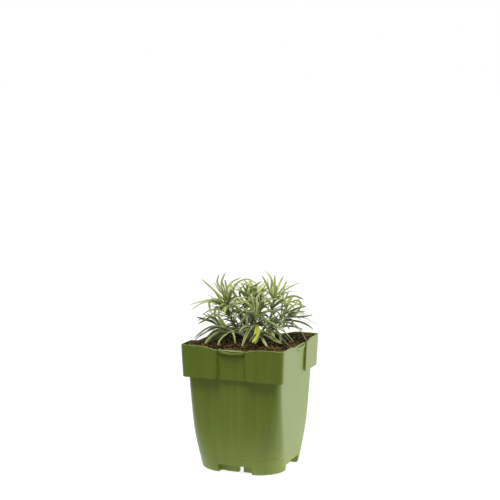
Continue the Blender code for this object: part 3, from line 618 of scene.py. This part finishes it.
def makeMixTop():
    # square grid over the mouth of the pot, corners pulled in, closed below by a skirt and a flat base
    size = mixSizes
    n = size["cells"] + 1
    u, v = np.meshgrid(np.linspace(-1, 1, n), np.linspace(-1, 1, n), indexing="ij")
    # the outline stands back at the recessed middles and at the rounded corners
    x, y = [p * (size["half"] - mixRecess(q * size["half"]) * np.abs(p)**8) * np.sqrt(1.0 - 0.035 * q**6)
            for p, q in ((u, v), (v, u))]
    calm = ease((1.0 - np.maximum(np.abs(u), np.abs(v))) * 14.0)
    z = mixHeight(x, y) + clods(x, y) * (0.35 + 0.65 * calm)
    points = np.stack([x, y, z], -1).reshape(-1, 3)
    index = np.arange(n * n).reshape(n, n)
    faces = [np.stack([index[:-1, :-1], index[1:, :-1], index[1:, 1:], index[:-1, 1:]], -1).reshape(-1, 4)]
    loop = np.concatenate([index[:-1, 0], index[-1, :-1], index[:0:-1, -1], index[0, :0:-1]])
    skirt = points[loop] * [0.99, 0.99, 0] + [0, 0, size["foot"]]
    first = len(points)
    under = first + np.arange(len(loop))
    following = np.roll(loop, -1)
    faces.append(np.stack([loop, under, np.roll(under, -1), following], -1))
    points = np.concatenate([points, skirt, [[0, 0, size["foot"]]]])
    faces.append(np.stack([under, np.full(len(loop), len(points) - 1), np.roll(under, -1)], -1))
    piece = makePiece("potting_mix_top", points, faces, peatDark)
    settle(piece, "potting_mix")


def makeRootBall():
    # the mix below the surface, filled against the cup: rounded squares stacked up
    heights, inset = np.array(mixSizes["ball"], float).T
    lean = potSizes["bandLean"] * (potSizes["height"] - heights) / potSizes["bandHeight"]
    halves = np.where(inset > 0, cupHalf(heights) - inset, potSizes["rimHalf"] - 1.6 - lean)
    along, out, station = squareRing(halves, np.where(inset > 0, cupRadius(heights) - 0.8, 3.4))
    out = out - (inset == 0)[:, None] * mixRecess(station)
    grid = turnedSides(along, out, np.broadcast_to(heights[:, None], along.shape))
    dents = 0.18 * waves(grid[..., 0] + grid[..., 2] * 0.7, grid[..., 1] - grid[..., 2] * 0.5, 9.0, 9, 5)
    grid[..., :2] *= 1.0 - (0.3 + dents[..., None]) * 0.006
    rows, columns = grid.shape[:2]
    points = np.concatenate([grid.reshape(-1, 3), [[0, 0, heights[0]], [0, 0, heights[-1]]]])
    faces = [gridFaces(rows, columns), fanFaces(0, columns, len(points) - 2, inward=True),
             fanFaces(rows - 1, columns, len(points) - 1)]
    piece = makePiece("root_ball", points, faces, peatDark)
    settle(piece, "potting_mix")


def onMix(x, y):
    return mixHeight(x, y) + clods(x, y)


def scatter(count, reach):
    # places on the mix, clear of the crown and of the recessed middles of the walls
    size = mixSizes
    xy = shuffle.uniform(-reach, reach, (count * 2, 2))
    fromAxis = np.abs(xy)
    clear = fromAxis.max(1) < np.where(fromAxis.min(1) < size["recessClear"], reach - size["recess"], reach)
    xy = xy[clear & (np.hypot(xy[:, 0], xy[:, 1]) > size["crownClear"])][:count]
    return np.column_stack([xy, onMix(xy[:, 0], xy[:, 1])])


def repeated(parts, count, corners):
    # the faces of one body, again for each of count bodies of so many points
    starts = (np.arange(count) * corners)[:, None, None]
    return [(part[None] + starts).reshape(-1, part.shape[1]) for part in parts]


def lumps(places, sizes, flatness, rough):
    # small closed stones, each a ball of three rings of six points and two poles, its points pushed in and out
    rings, columns = 3, 6
    tilt = math.pi * np.arange(1, rings + 1) / (rings + 1)
    turn = 2 * math.pi * np.arange(columns) / columns
    ball = np.stack([np.sin(tilt)[:, None] * np.cos(turn + 0.5 * tilt[:, None]),
                     np.sin(tilt)[:, None] * np.sin(turn + 0.5 * tilt[:, None]),
                     np.repeat(np.cos(tilt)[:, None], columns, 1)], -1).reshape(-1, 3)
    ball = np.concatenate([ball, [[0, 0, 1], [0, 0, -1]]])
    count, corners = len(places), len(ball)
    shape = ball[None] * (1.0 + shuffle.uniform(-rough, rough, (count, corners, 1)))
    stretch = shuffle.uniform(0.65, 1.35, (count, 1, 3))
    stretch[..., 2] *= flatness
    shape = shape * stretch
    spin, lean = shuffle.uniform(0, 2 * math.pi, (2, count, 1))
    x, y, z = np.moveaxis(shape, -1, 0)
    y, z = y * np.cos(lean) - z * np.sin(lean), y * np.sin(lean) + z * np.cos(lean)
    x, y = x * np.cos(spin) - y * np.sin(spin), x * np.sin(spin) + y * np.cos(spin)
    points = places[:, None] + np.stack([x, y, z], -1) * sizes[:, None, None]
    quads = gridFaces(rings, columns)[:, ::-1]
    caps = np.concatenate([fanFaces(0, columns, corners - 2), fanFaces(rings - 1, columns, corners - 1, True)])
    return points.reshape(-1, 3), repeated([quads, caps], count, corners), corners


def makeCrumbs():
    # many small ones and a few big ones, half sunk
    low, high = mixSizes["crumbSizes"]
    places = scatter(mixSizes["crumbs"], mixSizes["reach"])
    sizes = low + (high - low) * shuffle.uniform(0, 1, len(places))**2.6
    places[:, 2] += sizes * shuffle.uniform(-0.3, 0.5, len(places))
    points, faces, corners = lumps(places, sizes, 0.75, 0.22)
    tones = np.repeat(shuffle.beta(1.6, 2.6, len(places)), corners)
    piece = makePiece("peat_crumbs", points, faces, crumbSkin, {"tone": tones}, 40)
    settle(piece, "potting_mix")


def makePerlite():
    # a few white grains
    places = scatter(mixSizes["perlite"], mixSizes["reach"])
    sizes = shuffle.uniform(*mixSizes["perliteSizes"], len(places))
    places[:, 2] += sizes * 0.3
    points, faces, _ = lumps(places, sizes, 0.85, 0.15)
    piece = makePiece("perlite_grains", points, faces, perliteSkin)
    settle(piece, "potting_mix")


def makeFibres():
    # each fibre is a thin closed tube, three-sided, bent up in its middle and lying on the mix
    count, stations, sides = mixSizes["fibres"], 7, 3
    places = scatter(count, mixSizes["fibreReach"])
    low, high = mixSizes["fibreLengths"]
    lengths = low + (high - low) * shuffle.uniform(0, 1, count)**2
    heading = shuffle.uniform(0, 2 * math.pi, count)
    t = np.linspace(-0.5, 0.5, stations)
    bend = shuffle.uniform(-0.45, 0.45, count)[:, None] * (t**2 - 0.08)[None]
    x = places[:, 0, None] + lengths[:, None] * (t * np.cos(heading)[:, None] - bend * np.sin(heading)[:, None])
    y = places[:, 1, None] + lengths[:, None] * (t * np.sin(heading)[:, None] + bend * np.cos(heading)[:, None])
    x, y = np.clip([x, y], -mixSizes["reach"], mixSizes["reach"])
    lie = onMix(x, y)
    smoothed = (lie + lie.mean(1, keepdims=True)) / 2
    z = np.maximum(smoothed, lie) + 0.1 + shuffle.uniform(0, 0.7, count)[:, None] * (0.25 - t**2)[None] * 4
    path = np.stack([x, y, z], -1)
    thick = shuffle.uniform(*mixSizes["fibreRadii"], count)[:, None] * (1.0 - 1.5 * t**2)
    tangent = unit(np.gradient(path, axis=1))
    side = unit(np.cross(tangent, [0.0, 0.0, 1.0]))
    over = np.cross(side, tangent)
    turn = 2 * math.pi * np.arange(sides) / sides
    ring = path[:, :, None] + thick[:, :, None, None] * (side[:, :, None] * np.cos(turn)[:, None]
                                                         + over[:, :, None] * np.sin(turn)[:, None])
    corners = stations * sides
    ends = np.array([[2, 1, 0], [corners - 3, corners - 2, corners - 1]])
    faces = repeated([gridFaces(stations, sides), ends], count, corners)
    tones = np.repeat(shuffle.beta(1.5, 1.7, count), corners)
    piece = makePiece("mix_fibres", ring.reshape(-1, 3), faces, fibreSkin, {"tone": tones})
    settle(piece, "potting_mix")


makeMixTop()
makeRootBall()
makeCrumbs()
makePerlite()
makeFibres()
print("potting mix ready")


crownSizes = {"foot": 113.0, "footRadius": 3.0, "middle": 128.8, "radius": 6.0, "rise": 5.6, "share": 0.6}
stemSizes = {"base": 1.35, "tip": 0.95, "leafy": 9.0, "sides": 12, "stations": 30, "firstLeaf": 9}
leafSizes = {
    "width": 2.5, "thickness": 1.6, "stations": 16, "twist": 0.9, "turned": 1.0,
    # leaves grown in a spiral: lengths, how far down the shoot, how they hang and the room between them
    "lengths": (15.0, 34.0), "spread": 26.0, "droop": 0.3, "room": 2.2, "trials": 12,
    # tips stay in this box, and a shoot's own "top" may be lower
    "low": (-59, -54, 129.5), "high": (59, 56, 186),
    # painted light: paler from the foot height up over the rise given here, as if lit from above; deeper with the
    # reach of the tip, and each leaf its own
    "tone": 0.2, "paintedLightGain": 0.46, "paintedLightFoot": 138.0, "paintedLightRise": 45.0, "toneReach": 0.1, "reachFull": 50.0,
    "toneSpread": 0.3, "lowTone": 0.4,
}

# leaves near the foot of the plant: width in millimetres and the places they pass through
lowLeaves = {
    "drooping_leaf": (3.6, [(12, -20, 149), (10, -27, 147), (9, -34, 143), (9, -41, 138), (9, -47, 132)]),
    "yellow_leaf": (6.2, [(15, -21, 149), (17, -26, 144), (17, -31, 139), (16, -36, 134)]),
    "basal_leaf": (3.2, [(13, -10, 137), (22, -23, 135), (31, -36, 131)]),
    "trailing_leaf": (2.3, [(-7, -12, 142), (-13, -21, 141), (-17, -30, 138), (-18, -39, 135), (-17, -48, 131)]),
}

# each shoot: its leaves given one by one, each as the places it passes through up to its tip, and how many more it
# grows
shoots = {
    "upper_left": {"more": 14, "top": 190, "leaves": [
        [(-40, -5, 180), (-52, -6, 190)], [(-34, 2, 179), (-40, 6, 187), (-39, 9, 194)],
        [(-31, -10, 180), (-35, -13, 189)], [(-32, 0, 179), (-33, 2, 188), (-30, 4, 197)],
        [(-41, -10, 170), (-50, -14, 168), (-60, -18, 165)], [(-36, -13, 169), (-45, -19, 168), (-54, -27, 162)],
        [(-35, -13, 171), (-39, -15, 170), (-38, -19, 164), (-33, -24, 157)], [(-26, -10, 175), (-25, -16, 184)],
        [(-25, 3, 178), (-25, 8, 185)], [(-29, 7, 180), (-26, 13, 186), (-19, 20, 190)],
        [(-32, -10, 166), (-37, -14, 166)], [(-34, -11, 163), (-34, -15, 158), (-31, -19, 152), (-25, -22, 149)],
        [(-21, 1, 180), (-15, 3, 188), (-6, 6, 191), (4, 10, 185)], [(-26, -8, 166), (-29, -15, 164)],
        [(-20, -3, 171), (-15, -2, 175)], [(-23, -10, 164), (-23, -22, 161)]]},
    "upper_right": {"more": 14, "leaves": [
        [(16, 17, 180), (16, 18, 189), (13, 19, 194), (8, 20, 198)], [(15, 12, 180), (13, 10, 187), (9, 8, 195)],
        [(20, 16, 180), (19, 18, 195)], [(21, 23, 182), (22, 27, 187), (24, 30, 192)],
        [(25, 17, 178), (29, 19, 184), (32, 20, 190)], [(26, 22, 177), (31, 26, 181), (40, 33, 186)],
        [(23, 18, 172), (28, 22, 176), (36, 26, 178)],
        [(28, 17, 169), (34, 18, 173), (40, 20, 174), (49, 22, 171)],
        [(26, 14, 167), (34, 13, 167), (39, 13, 166), (43, 12, 162)],
        [(26, 20, 168), (34, 26, 167), (40, 30, 165), (46, 34, 162)], [(17, 9, 180), (17, 5, 187), (17, 2, 194)],
        [(28, 11, 162), (33, 8, 165), (39, 6, 167)], [(26, 11, 160), (37, 8, 160)],
        [(16, 8, 178), (12, 5, 181), (9, 2, 178), (8, -2, 173)], [(16, 9, 168), (13, 4, 170), (12, 0, 169)]]},
    "front": {"more": 6, "leaves": [
        [(12, -23, 165), (10, -26, 177), (7, -29, 186)],
        [(14, -18, 168), (13, -17, 176), (17, -16, 181), (22, -16, 183)],
        [(11, -24, 164), (9, -27, 170), (5, -30, 174), (-4, -34, 172)],
        [(5, -21, 163), (-3, -22, 166), (-12, -24, 170)], [(19, -21, 160), (24, -22, 163), (40, -24, 166)],
        [(21, -21, 155), (31, -23, 153), (38, -25, 150), (43, -26, 146)],
        [(12, -25, 161), (9, -28, 163), (6, -30, 163)], [(15, -19, 162), (17, -20, 170), (17, -20, 176)],
        [(8, -26, 161), (4, -30, 157), (1, -36, 150)], [(17, -21, 141), (19, -30, 137), (19, -38, 133)]]},
    "left": {"more": 6, "top": 158, "leaves": [
        [(-33, -18, 151), (-46, -17, 156)], [(-33, -21, 153), (-40, -22, 158)],
        [(-34, -23, 150), (-41, -25, 152), (-49, -27, 154)],
        [(-30, -24, 154), (-34, -25, 155), (-39, -27, 152), (-46, -30, 148)],
        [(-30, -26, 146), (-36, -30, 144), (-41, -35, 140), (-46, -40, 135)],
        [(-31, -26, 144), (-37, -31, 140), (-42, -36, 136)], [(-29, -20, 151), (-33, -20, 155)],
        [(-24, -26, 141), (-28, -36, 138), (-31, -48, 132)], [(-22, -23, 142), (-27, -34, 138), (-30, -44, 134)],
        [(-27, -19, 152), (-28, -18, 159), (-28, -18, 164)],
        [(-11, -8, 140), (-19, -21, 139), (-27, -33, 134), (-32, -46, 131)]]},
    "right": {"more": 7, "top": 158, "leaves": [
        [(42, 12, 154), (50, 15, 154), (60, 19, 156)],
        [(40, 12, 150), (48, 17, 148), (54, 20, 145), (59, 24, 140)], [(39, 17, 143), (47, 26, 139)],
        [(42, 10, 156), (48, 11, 162), (50, 12, 167), (48, 13, 170), (44, 13, 171), (38, 14, 168)],
        [(34, 7, 150), (39, 2, 146), (43, -3, 143)], [(40, 11, 151), (40, 14, 143)], [(40, 8, 155), (48, 6, 158)],
        [(38, 15, 157), (44, 20, 157)], [(32, 4, 149), (34, -4, 143)], [(33, 7, 149), (34, 4, 143)]]},
    "middle_left": {"more": 26, "leaves": [
        [(-5, 12, 176), (-7, 13, 183), (-13, 14, 188)], [(-13, 10, 177), (-19, 9, 179), (-26, 8, 179)],
        [(-13, 16, 178), (-20, 20, 184)], [(-6, 15, 177), (-6, 18, 184)],
        [(-16, 11, 171), (-17, 12, 178), (-15, 12, 181)], [(-18, 8, 169), (-22, 7, 175), (-23, 4, 185)],
        [(-23, 16, 171), (-28, 19, 178), (-25, 22, 184)], [(-17, 7, 169), (-20, 2, 179)]]},
    "middle_top": {"more": 26, "leaves": [
        [(2, 6, 181), (4, 7, 186), (9, 8, 189)], [(6, 2, 182), (10, 1, 186), (14, 0, 188)],
        [(7, 8, 178), (9, 10, 181), (13, 12, 181)], [(-1, 12, 178), (-4, 16, 182)],
        [(12, 2, 175), (15, 0, 172), (16, -2, 167)]]},
    "lower_right": {"more": 6, "top": 156, "leaves": [
        [(22, -17, 139), (28, -21, 138), (37, -26, 135), (44, -30, 134)],
        [(35, -18, 144), (39, -20, 140), (41, -24, 134)], [(31, -20, 142), (35, -26, 139)],
        [(27, -14, 147), (33, -15, 148), (37, -16, 146)], [(30, -15, 152), (35, -16, 159)]]},
    "back": {"more": 26, "leaves": [
        [(-12, 43, 161), (-16, 54, 168)], [(-5, 46, 161), (2, 54, 163)], [(-9, 36, 167), (-10, 40, 180)]]},
    "back_left": {"more": 26, "leaves": [
        [(-43, 23, 160), (-58, 30, 160)], [(-40, 18, 164), (-48, 18, 174)], [(-42, 32, 156), (-50, 42, 151)]]},
    "back_right": {"more": 18, "leaves": [
        [(28, 44, 159), (36, 53, 160)], [(35, 39, 156), (44, 44, 152)], [(22, 40, 163), (24, 46, 174)]]},
    "low_back": {"more": 20, "leaves": [
        [(-29, 44, 148), (-40, 52, 147)], [(-21, 46, 149), (-24, 54, 151)]]},
}
up = np.array([0.0, 0.0, 1.0])
front = np.array([0.36, -0.93, 0.0])


def centreLine(node, perRing):
    # middle of each ring of a CAD piece that was drawn along a path, in millimetres
    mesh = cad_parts[node].data
    points = np.empty(len(mesh.vertices) * 3)
    mesh.vertices.foreach_get("co", points)
    points = np.unique(np.round(points.reshape(-1, 3) / millimetre, 2), axis=0)
    centre = points.mean(0)
    _, _, axes = np.linalg.svd(points - centre)
    order = np.argsort((points - centre) @ axes[0])
    rings = points[order][:len(points) // perRing * perRing].reshape(-1, perRing, 3)
    return rings.mean(1), np.ptp(rings, axis=1).max(axis=1)


def distances(path):
    # how far along a path each of its points is
    return np.concatenate([[0], np.cumsum(np.linalg.norm(np.diff(path, axis=0), axis=1))])


def resample(path, count):
    # evenly spaced places along a path, its bends rounded
    place = distances(path)
    return curveThrough(place, path, np.linspace(0, place[-1], count))


def makeStem(name):
    # a tube along the shoot with a swelling at each old leaf, closed at both ends
    size = stemSizes
    path, _ = centreLine(name + "_stem", 6)
    if np.linalg.norm(path[0] - [0, 0, 130]) > np.linalg.norm(path[-1] - [0, 0, 130]):
        path = path[::-1]
    axis = unit(path[-1] - path[-2])
    inward = path[0] - unit(path[1] - path[0]) * 2.0
    leafy = [path[-1] + axis * size["leafy"] * share for share in (0.5, 1.0)]
    path = resample(np.concatenate([[inward], path, leafy]), size["stations"])
    t = np.linspace(0, 1, size["stations"])
    tangent = unit(np.gradient(path, axis=0))
    side = unit(np.cross(tangent, [0.31, 0.2, 0.93]))
    over = np.cross(side, tangent)
    turn = 2 * math.pi * np.arange(size["sides"]) / size["sides"]
    radius = size["base"] + (size["tip"] - size["base"]) * t
    radius = radius * (1.0 - 0.55 * ease((t - 0.85) / 0.15))
    knobs = 1.0 + 0.12 * np.sin(turn[None] * 3 + t[:, None] * 40.0) * np.sin(t[:, None] * 62.0)
    outward = side[:, None] * np.cos(turn)[:, None] + over[:, None] * np.sin(turn)[:, None]
    ring = path[:, None] + (radius[:, None] * knobs)[..., None] * outward
    rows, columns = ring.shape[:2]
    points = np.concatenate([ring.reshape(-1, 3), path[:1], path[-1:] + axis * 0.4])
    faces = [gridFaces(rows, columns)[:, ::-1], fanFaces(0, columns, len(points) - 2),
             fanFaces(rows - 1, columns, len(points) - 1, inward=True)]
    along = np.concatenate([np.repeat(t, columns), [0, 1]])
    piece = makePiece(name + "_twig", points, faces, stemSkin, {"along": along})
    settle(piece, name + "_stem")
    return path, axis


def leafPath(start, out, tip, arch):
    # one leaf's midline: leaves the stem along out, rises by arch over its chord and ends at its tip
    t = np.linspace(0, 1, leafSizes["stations"])[:, None]
    length = np.linalg.norm(tip - start)
    first = start + out * length * 0.42
    second = tip + up * arch - (tip - start) * 0.28
    return (1 - t)**3 * start + 3 * t * (1 - t)**2 * first + 3 * t**2 * (1 - t) * second + t**3 * tip


def setLeaf(stemPath, places):
    # a leaf through given places; it starts where the stem passes them at about forty degrees
    places = np.array(places, float)
    ways = unit(np.gradient(stemPath, axis=0))
    off = places[0] - stemPath
    ahead = (off * ways).sum(1)
    aside = np.linalg.norm(off - ahead[:, None] * ways, axis=1)
    first = stemSizes["firstLeaf"]
    k = first + int(np.argmin(np.abs(ahead - 1.2 * aside)[first:-2]))
    side = unit(off[k] - ahead[k] * ways[k])
    bend = stemPath[k] + (ways[k] * 0.75 + side * 0.5) * 0.3 * np.linalg.norm(off[k])
    return resample(np.concatenate([[stemPath[k], bend], places]), leafSizes["stations"]), side


def bladeWidth(t):
    # share of the full width: half at the foot, full by a third, a long taper and a blunt tip
    return (0.5 + 0.5 * ease(t / 0.32)) * np.sqrt(np.clip(1.0 - ((t - 0.42) / 0.6).clip(0)**2.2, 0.02, 1.0))


# half a section across the blade, from its midrib groove round the rolled edge to the keel below
sectionX = np.array([0.0, 0.22, 0.55, 0.85, 1.0, 0.88, 0.5, 0.14])
sectionY = np.array([0.12, 0.42, 0.55, 0.3, -0.25, -0.6, -0.42, -0.72])
sectionX, sectionY = np.concatenate([sectionX, -sectionX[:0:-1]]), np.concatenate([sectionY, sectionY[:0:-1]])


def blades(paths, faceUps, widths, tones, twists):
    # felted strap leaves, all in one go: the section is carried along each midline, its width set by bladeWidth
    # and its faces turned by twist, with a point at the foot and one at the tip
    count, stations = paths.shape[:2]
    t = np.linspace(0, 1, stations)
    tangent = unit(np.gradient(paths, axis=1))
    side = unit(np.cross(tangent, faceUps[:, None]))
    normal = np.cross(side, tangent)
    angle = (twists[:, None] * (t - 0.2)[None])[..., None]
    side, normal = side * np.cos(angle) + normal * np.sin(angle), normal * np.cos(angle) - side * np.sin(angle)
    half = widths[:, None] / 2 * bladeWidth(t)[None]
    thick = leafSizes["thickness"] / 2 * (1.0 - 0.45 * t)[None] * np.sqrt(widths / leafSizes["width"])[:, None]
    ring = (paths[:, :, None] + (half[..., None] * sectionX)[..., None] * side[:, :, None]
            + (thick[..., None] * sectionY)[..., None] * normal[:, :, None])
    columns = len(sectionX)
    tips = paths[:, -1] + tangent[:, -1] * half[:, -1:] * 1.3
    corners = stations * columns + 2
    points = np.concatenate([ring.reshape(count, -1, 3), paths[:, :1], tips[:, None]], 1)
    quads = gridFaces(stations, columns)[:, ::-1]
    ends = np.concatenate([fanFaces(0, columns, corners - 2), fanFaces(stations - 1, columns, corners - 1, True)])
    along = np.concatenate([np.repeat(t, columns), [0, 1]])
    across = np.concatenate([np.tile(np.abs(sectionX), stations), [0, 0]])
    marks = {"along": np.tile(along, count), "across": np.tile(across, count), "tone": np.repeat(tones, corners)}
    return points.reshape(-1, 3), repeated([quads, ends], count, corners), marks


def clearance(path, taken):
    # least distance from the outer part of a leaf to the leaves grown just before it
    return float(np.linalg.norm(path[3:, None] - np.concatenate(taken[-60:]), axis=2).min())


def growTuft(name, stemPath, axis, taken):
    # the listed leaves, then more in a spiral down the shoot: short and upright at its tip, long and drooping
    # below; each takes the roomiest of a few trials, so blades may still pass through one another
    shoot = shoots[name]
    across = unit(np.cross(axis, [0.3, 0.1, 1.0]))
    over = np.cross(axis, across)
    golden = math.pi * (3.0 - math.sqrt(5.0))
    fromTip = distances(stemPath[::-1])[::-1]
    shortest, longest = leafSizes["lengths"]
    paths, ups, shares = [], [], []

    def keep(path, out, share, turned=0.0):
        paths.append(path)
        ups.append(unit(axis * 0.8 + up * 0.5 - out * 0.35 + front * turned))
        shares.append(share)
        taken.append(path[3:])

    for places in shoot["leaves"]:
        path, out = setLeaf(stemPath, places)
        keep(path, out, 1.0, leafSizes["turned"])
    for k in range(shoot["more"]):
        level = (k + 0.5) / shoot["more"]
        place = 1.0 + leafSizes["spread"] * level
        start = np.array([np.interp(-place, -fromTip, stemPath[:, i]) for i in range(3)])
        best = None
        for trial in range(leafSizes["trials"]):
            turn = golden * k + shuffle.uniform(-0.5, 0.5) * (1 + trial * 0.3)
            lean = 0.2 + 1.25 * level**0.7 + shuffle.uniform(-0.2, 0.25)
            out = across * math.cos(turn) + over * math.sin(turn)
            length = shortest + (longest - shortest) * math.sin(math.pi * (0.12 + 0.7 * level))
            length *= shuffle.uniform(0.75, 1.15)
            tip = start + (axis * math.cos(lean) + out * math.sin(lean)) * length
            tip -= up * length * leafSizes["droop"] * math.sin(lean) * shuffle.uniform(0.3, 1.6)
            tip = np.clip(tip, leafSizes["low"], [*leafSizes["high"][:2], shoot.get("top", leafSizes["high"][2])])
            arch = (2.0 + 5.0 * math.sin(lean)) * shuffle.uniform(0.4, 1.6)
            path = leafPath(start, unit(axis * 0.7 + out * 0.6), tip, arch)
            room = clearance(path, taken)
            if best is None or room > best[0]:
                best = (room, path, out)
            if room > leafSizes["room"]:
                break
        keep(best[1], best[2], 0.75 + 0.25 * math.sin(math.pi * level))
    paths = np.array(paths)
    height = paths[:, :, 2].mean(1)
    reach = np.hypot(paths[:, -1, 0], paths[:, -1, 1])
    size = leafSizes
    # painted light: leaves higher on the plant get a paler tone, as if lit from above; far-reaching tips are
    # deeper, and each leaf has its own random tone
    tones = (size["tone"] + size["paintedLightGain"] * np.clip((height - size["paintedLightFoot"]) / size["paintedLightRise"], 0, 1)
             - size["toneReach"] * np.clip(reach / size["reachFull"], 0, 1)
             + shuffle.uniform(-size["toneSpread"], size["toneSpread"], len(paths)))
    widths = leafSizes["width"] * np.array(shares) * shuffle.uniform(0.85, 1.15, len(paths))
    twists = shuffle.uniform(-1, 1, len(paths)) * leafSizes["twist"]
    points, faces, marks = blades(paths, np.array(ups), widths, tones, twists)
    piece = makePiece(name + "_foliage", points, faces, leafSkin, marks)
    settle(piece, name + "_leaves")
    return len(paths)


def makeCrown():
    # knotted woody base the stems rise from: a stump that widens up to its middle and is domed above it, with
    # ridges that run down into the mix
    size = crownSizes
    rows, columns = 22, 28
    v = np.linspace(0, 1, rows)[:, None]
    turn = 2 * math.pi * np.arange(columns)[None] / columns
    low = v < size["share"]
    rising = v / size["share"]
    over = (v - size["share"]) / (1.0 - size["share"]) * math.pi / 2
    z = np.where(low, size["foot"] + (size["middle"] - size["foot"]) * rising,
                 size["middle"] + size["rise"] * np.sin(over))
    radius = np.where(low, size["footRadius"] + (size["radius"] - size["footRadius"]) * ease(rising),
                      size["radius"] * np.cos(over * 0.98))
    radius = radius * (1.0 + 0.09 * np.sin(turn * 7 + v * 5) + 0.05 * np.sin(turn * 13 - v * 9))
    grid = np.stack([radius * np.cos(turn), radius * np.sin(turn), np.broadcast_to(z, radius.shape)], -1)
    points = np.concatenate([grid.reshape(-1, 3), [[0, 0, size["foot"]], [0, 0, size["middle"] + size["rise"]]]])
    faces = [gridFaces(rows, columns), fanFaces(0, columns, len(points) - 2, inward=True),
             fanFaces(rows - 1, columns, len(points) - 1)]
    piece = makePiece("crown_stump", points, faces, barkSkin)
    settle(piece, "root_crown")


def makeSingleLeaves():
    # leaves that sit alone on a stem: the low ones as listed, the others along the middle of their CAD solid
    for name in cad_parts:
        if name in lowLeaves:
            width, places = lowLeaves[name]
            path, tone = np.array(places, float), leafSizes["lowTone"]
        elif name.startswith("lower_leaf"):
            path, spread = centreLine(name, 4)
            path = path[::-1] if spread[0] < spread[-1] else path
            width, tone = leafSizes["width"] * shuffle.uniform(0.8, 1.1), shuffle.uniform(0.0, 0.4)
        else:
            continue
        path = resample(path, leafSizes["stations"])
        skin = yellowSkin if name == "yellow_leaf" else leafSkin
        faceUp = up[None] + unit(path[:1] - path[-1:]) * 0.1
        points, faces, marks = blades(path[None], faceUp, np.array([width]), np.array([tone]),
                                      shuffle.uniform(-0.5, 0.5, 1))
        piece = makePiece(name + "_blade", points, faces, skin, marks)
        settle(piece, name)


makeCrown()
taken = []
leafCount = 0
for name in shoots:
    leafCount += growTuft(name, *makeStem(name), taken)
makeSingleLeaves()
print("plant ready,", leafCount, "leaves in tufts")


studio = {
    "floorRings": (200.0, 2000.0, 30000.0), "floorLevel": -0.02,
    "skyBack": 1.2, "skyFront": 0.07, "skyTop": 0.5,
    "keyEnergy": 10.6, "keyPlace": (1200, 850, 500), "keySize": 800,
    "fillEnergy": 18.6, "fillPlace": (-150, -450, 1450), "fillSize": 450,
    "screenFrom": -0.25, "screenTo": 0.0, "screenDim": 0.02, "screenBright": 1.2,
    "cameraPlace": (518.53, -1319.44, 401.10), "pitch": -7.2021, "yaw": 21.498, "lens": 101.2215,
}


def palePaper():
    # seamless studio paper: faintly mottled and matt, so the floor stays quiet
    material, tree, shader, place = newMaterial("seamless white paper", {
        "IOR": 1.4, "Roughness": 0.9, "Emission Color": linear("#FFFFFF")})
    pulp = addNode(tree, "TexNoise", grain(place, 60.0, 2.0))
    colour = addNode(tree, "ValToRGB", [pulp], stops=[(0.0, "#7E7E7C"), (1.0, "#868684")])
    # the paper glows: the view sees it plain white, and the light it throws on the object is weaker in front of it,
    # as if a dark screen lay there
    thrown = addNode(tree, "MapRange", [addNode(tree, "SeparateXYZ", [place], "Y"), studio["screenFrom"],
                                        studio["screenTo"], studio["screenDim"], studio["screenBright"]])
    seen = addNode(tree, "LightPath", output="Is Camera Ray")
    strength = addNode(tree, "Mix", {0: seen, 2: thrown, 3: 0.9}, data_type="FLOAT")
    plug(tree, shader, {"Base Color": colour, "Emission Strength": strength})
    return material


def makeFloor():
    # a flat disc in rings about the middle
    columns, level = 64, studio["floorLevel"]
    turn = 2 * math.pi * np.arange(columns) / columns
    rings = [np.column_stack([r * np.cos(turn), r * np.sin(turn), np.full(columns, level)])
             for r in studio["floorRings"]]
    points = np.concatenate(rings + [[[0, 0, level]]])
    faces = [gridFaces(len(rings), columns)[:, ::-1], fanFaces(0, columns, len(points) - 1)]
    makePiece("floor", points, faces, palePaper())


def makeLight(name, energy, place, size):
    # a round soft box turned towards the middle of the object
    light = bpy.data.lights.new(name, "AREA")
    light.shape, light.size, light.energy = "DISK", size * millimetre, energy
    lamp = bpy.data.objects.new(name, light)
    lamp.location = [c * millimetre for c in place]
    aim = -np.array(place, float) + [0, 0, 100]
    lamp.rotation_euler = (math.atan2(math.hypot(aim[0], aim[1]), -aim[2]), 0.0, math.atan2(-aim[0], aim[1]))
    scene.collection.objects.link(lamp)


def makeSky():
    # soft room light: bright paper behind the object, dimmer towards the viewer
    world = bpy.data.worlds.new("soft studio")
    scene.world = world
    world.use_nodes = True
    tree = world.node_tree
    background = tree.nodes["Background"]
    x, y, z = addNode(tree, "SeparateXYZ", [addNode(tree, "TexCoord", output="Generated")]).node.outputs
    side = addNode(tree, "Math", [y, addNode(tree, "Math", [x, 0.35], operation="MULTIPLY")], operation="ADD")
    level = addNode(tree, "MapRange", [side, -0.5, 0.6, studio["skyFront"], studio["skyBack"]])
    overhead = addNode(tree, "MapRange", [z, 0.55, 0.95])
    level = addNode(tree, "Mix", {0: overhead, 2: level, 3: studio["skyTop"]}, data_type="FLOAT")
    seen = addNode(tree, "LightPath", output="Is Camera Ray")
    level = addNode(tree, "Mix", {0: seen, 2: level, 3: 1.0}, data_type="FLOAT")
    plug(tree, background, {"Color": linear("#FFFFFF"), "Strength": level})


def makeCamera():
    # a long lens a little above the rim
    camera = bpy.data.objects.new("camera", bpy.data.cameras.new("camera"))
    camera.data.lens = studio["lens"]
    camera.data.clip_start, camera.data.clip_end = 0.05, 100.0
    camera.location = [c * millimetre for c in studio["cameraPlace"]]
    camera.rotation_euler = (math.radians(90.0 + studio["pitch"]), 0.0, math.radians(studio["yaw"]))
    scene.collection.objects.link(camera)
    bpy.context.scene.camera = camera


makeFloor()
makeLight("key", studio["keyEnergy"], studio["keyPlace"], studio["keySize"])
makeLight("fill", studio["fillEnergy"], studio["fillPlace"], studio["fillSize"])
makeSky()
makeCamera()
scene.view_settings.view_transform = "Standard"
print("studio ready")
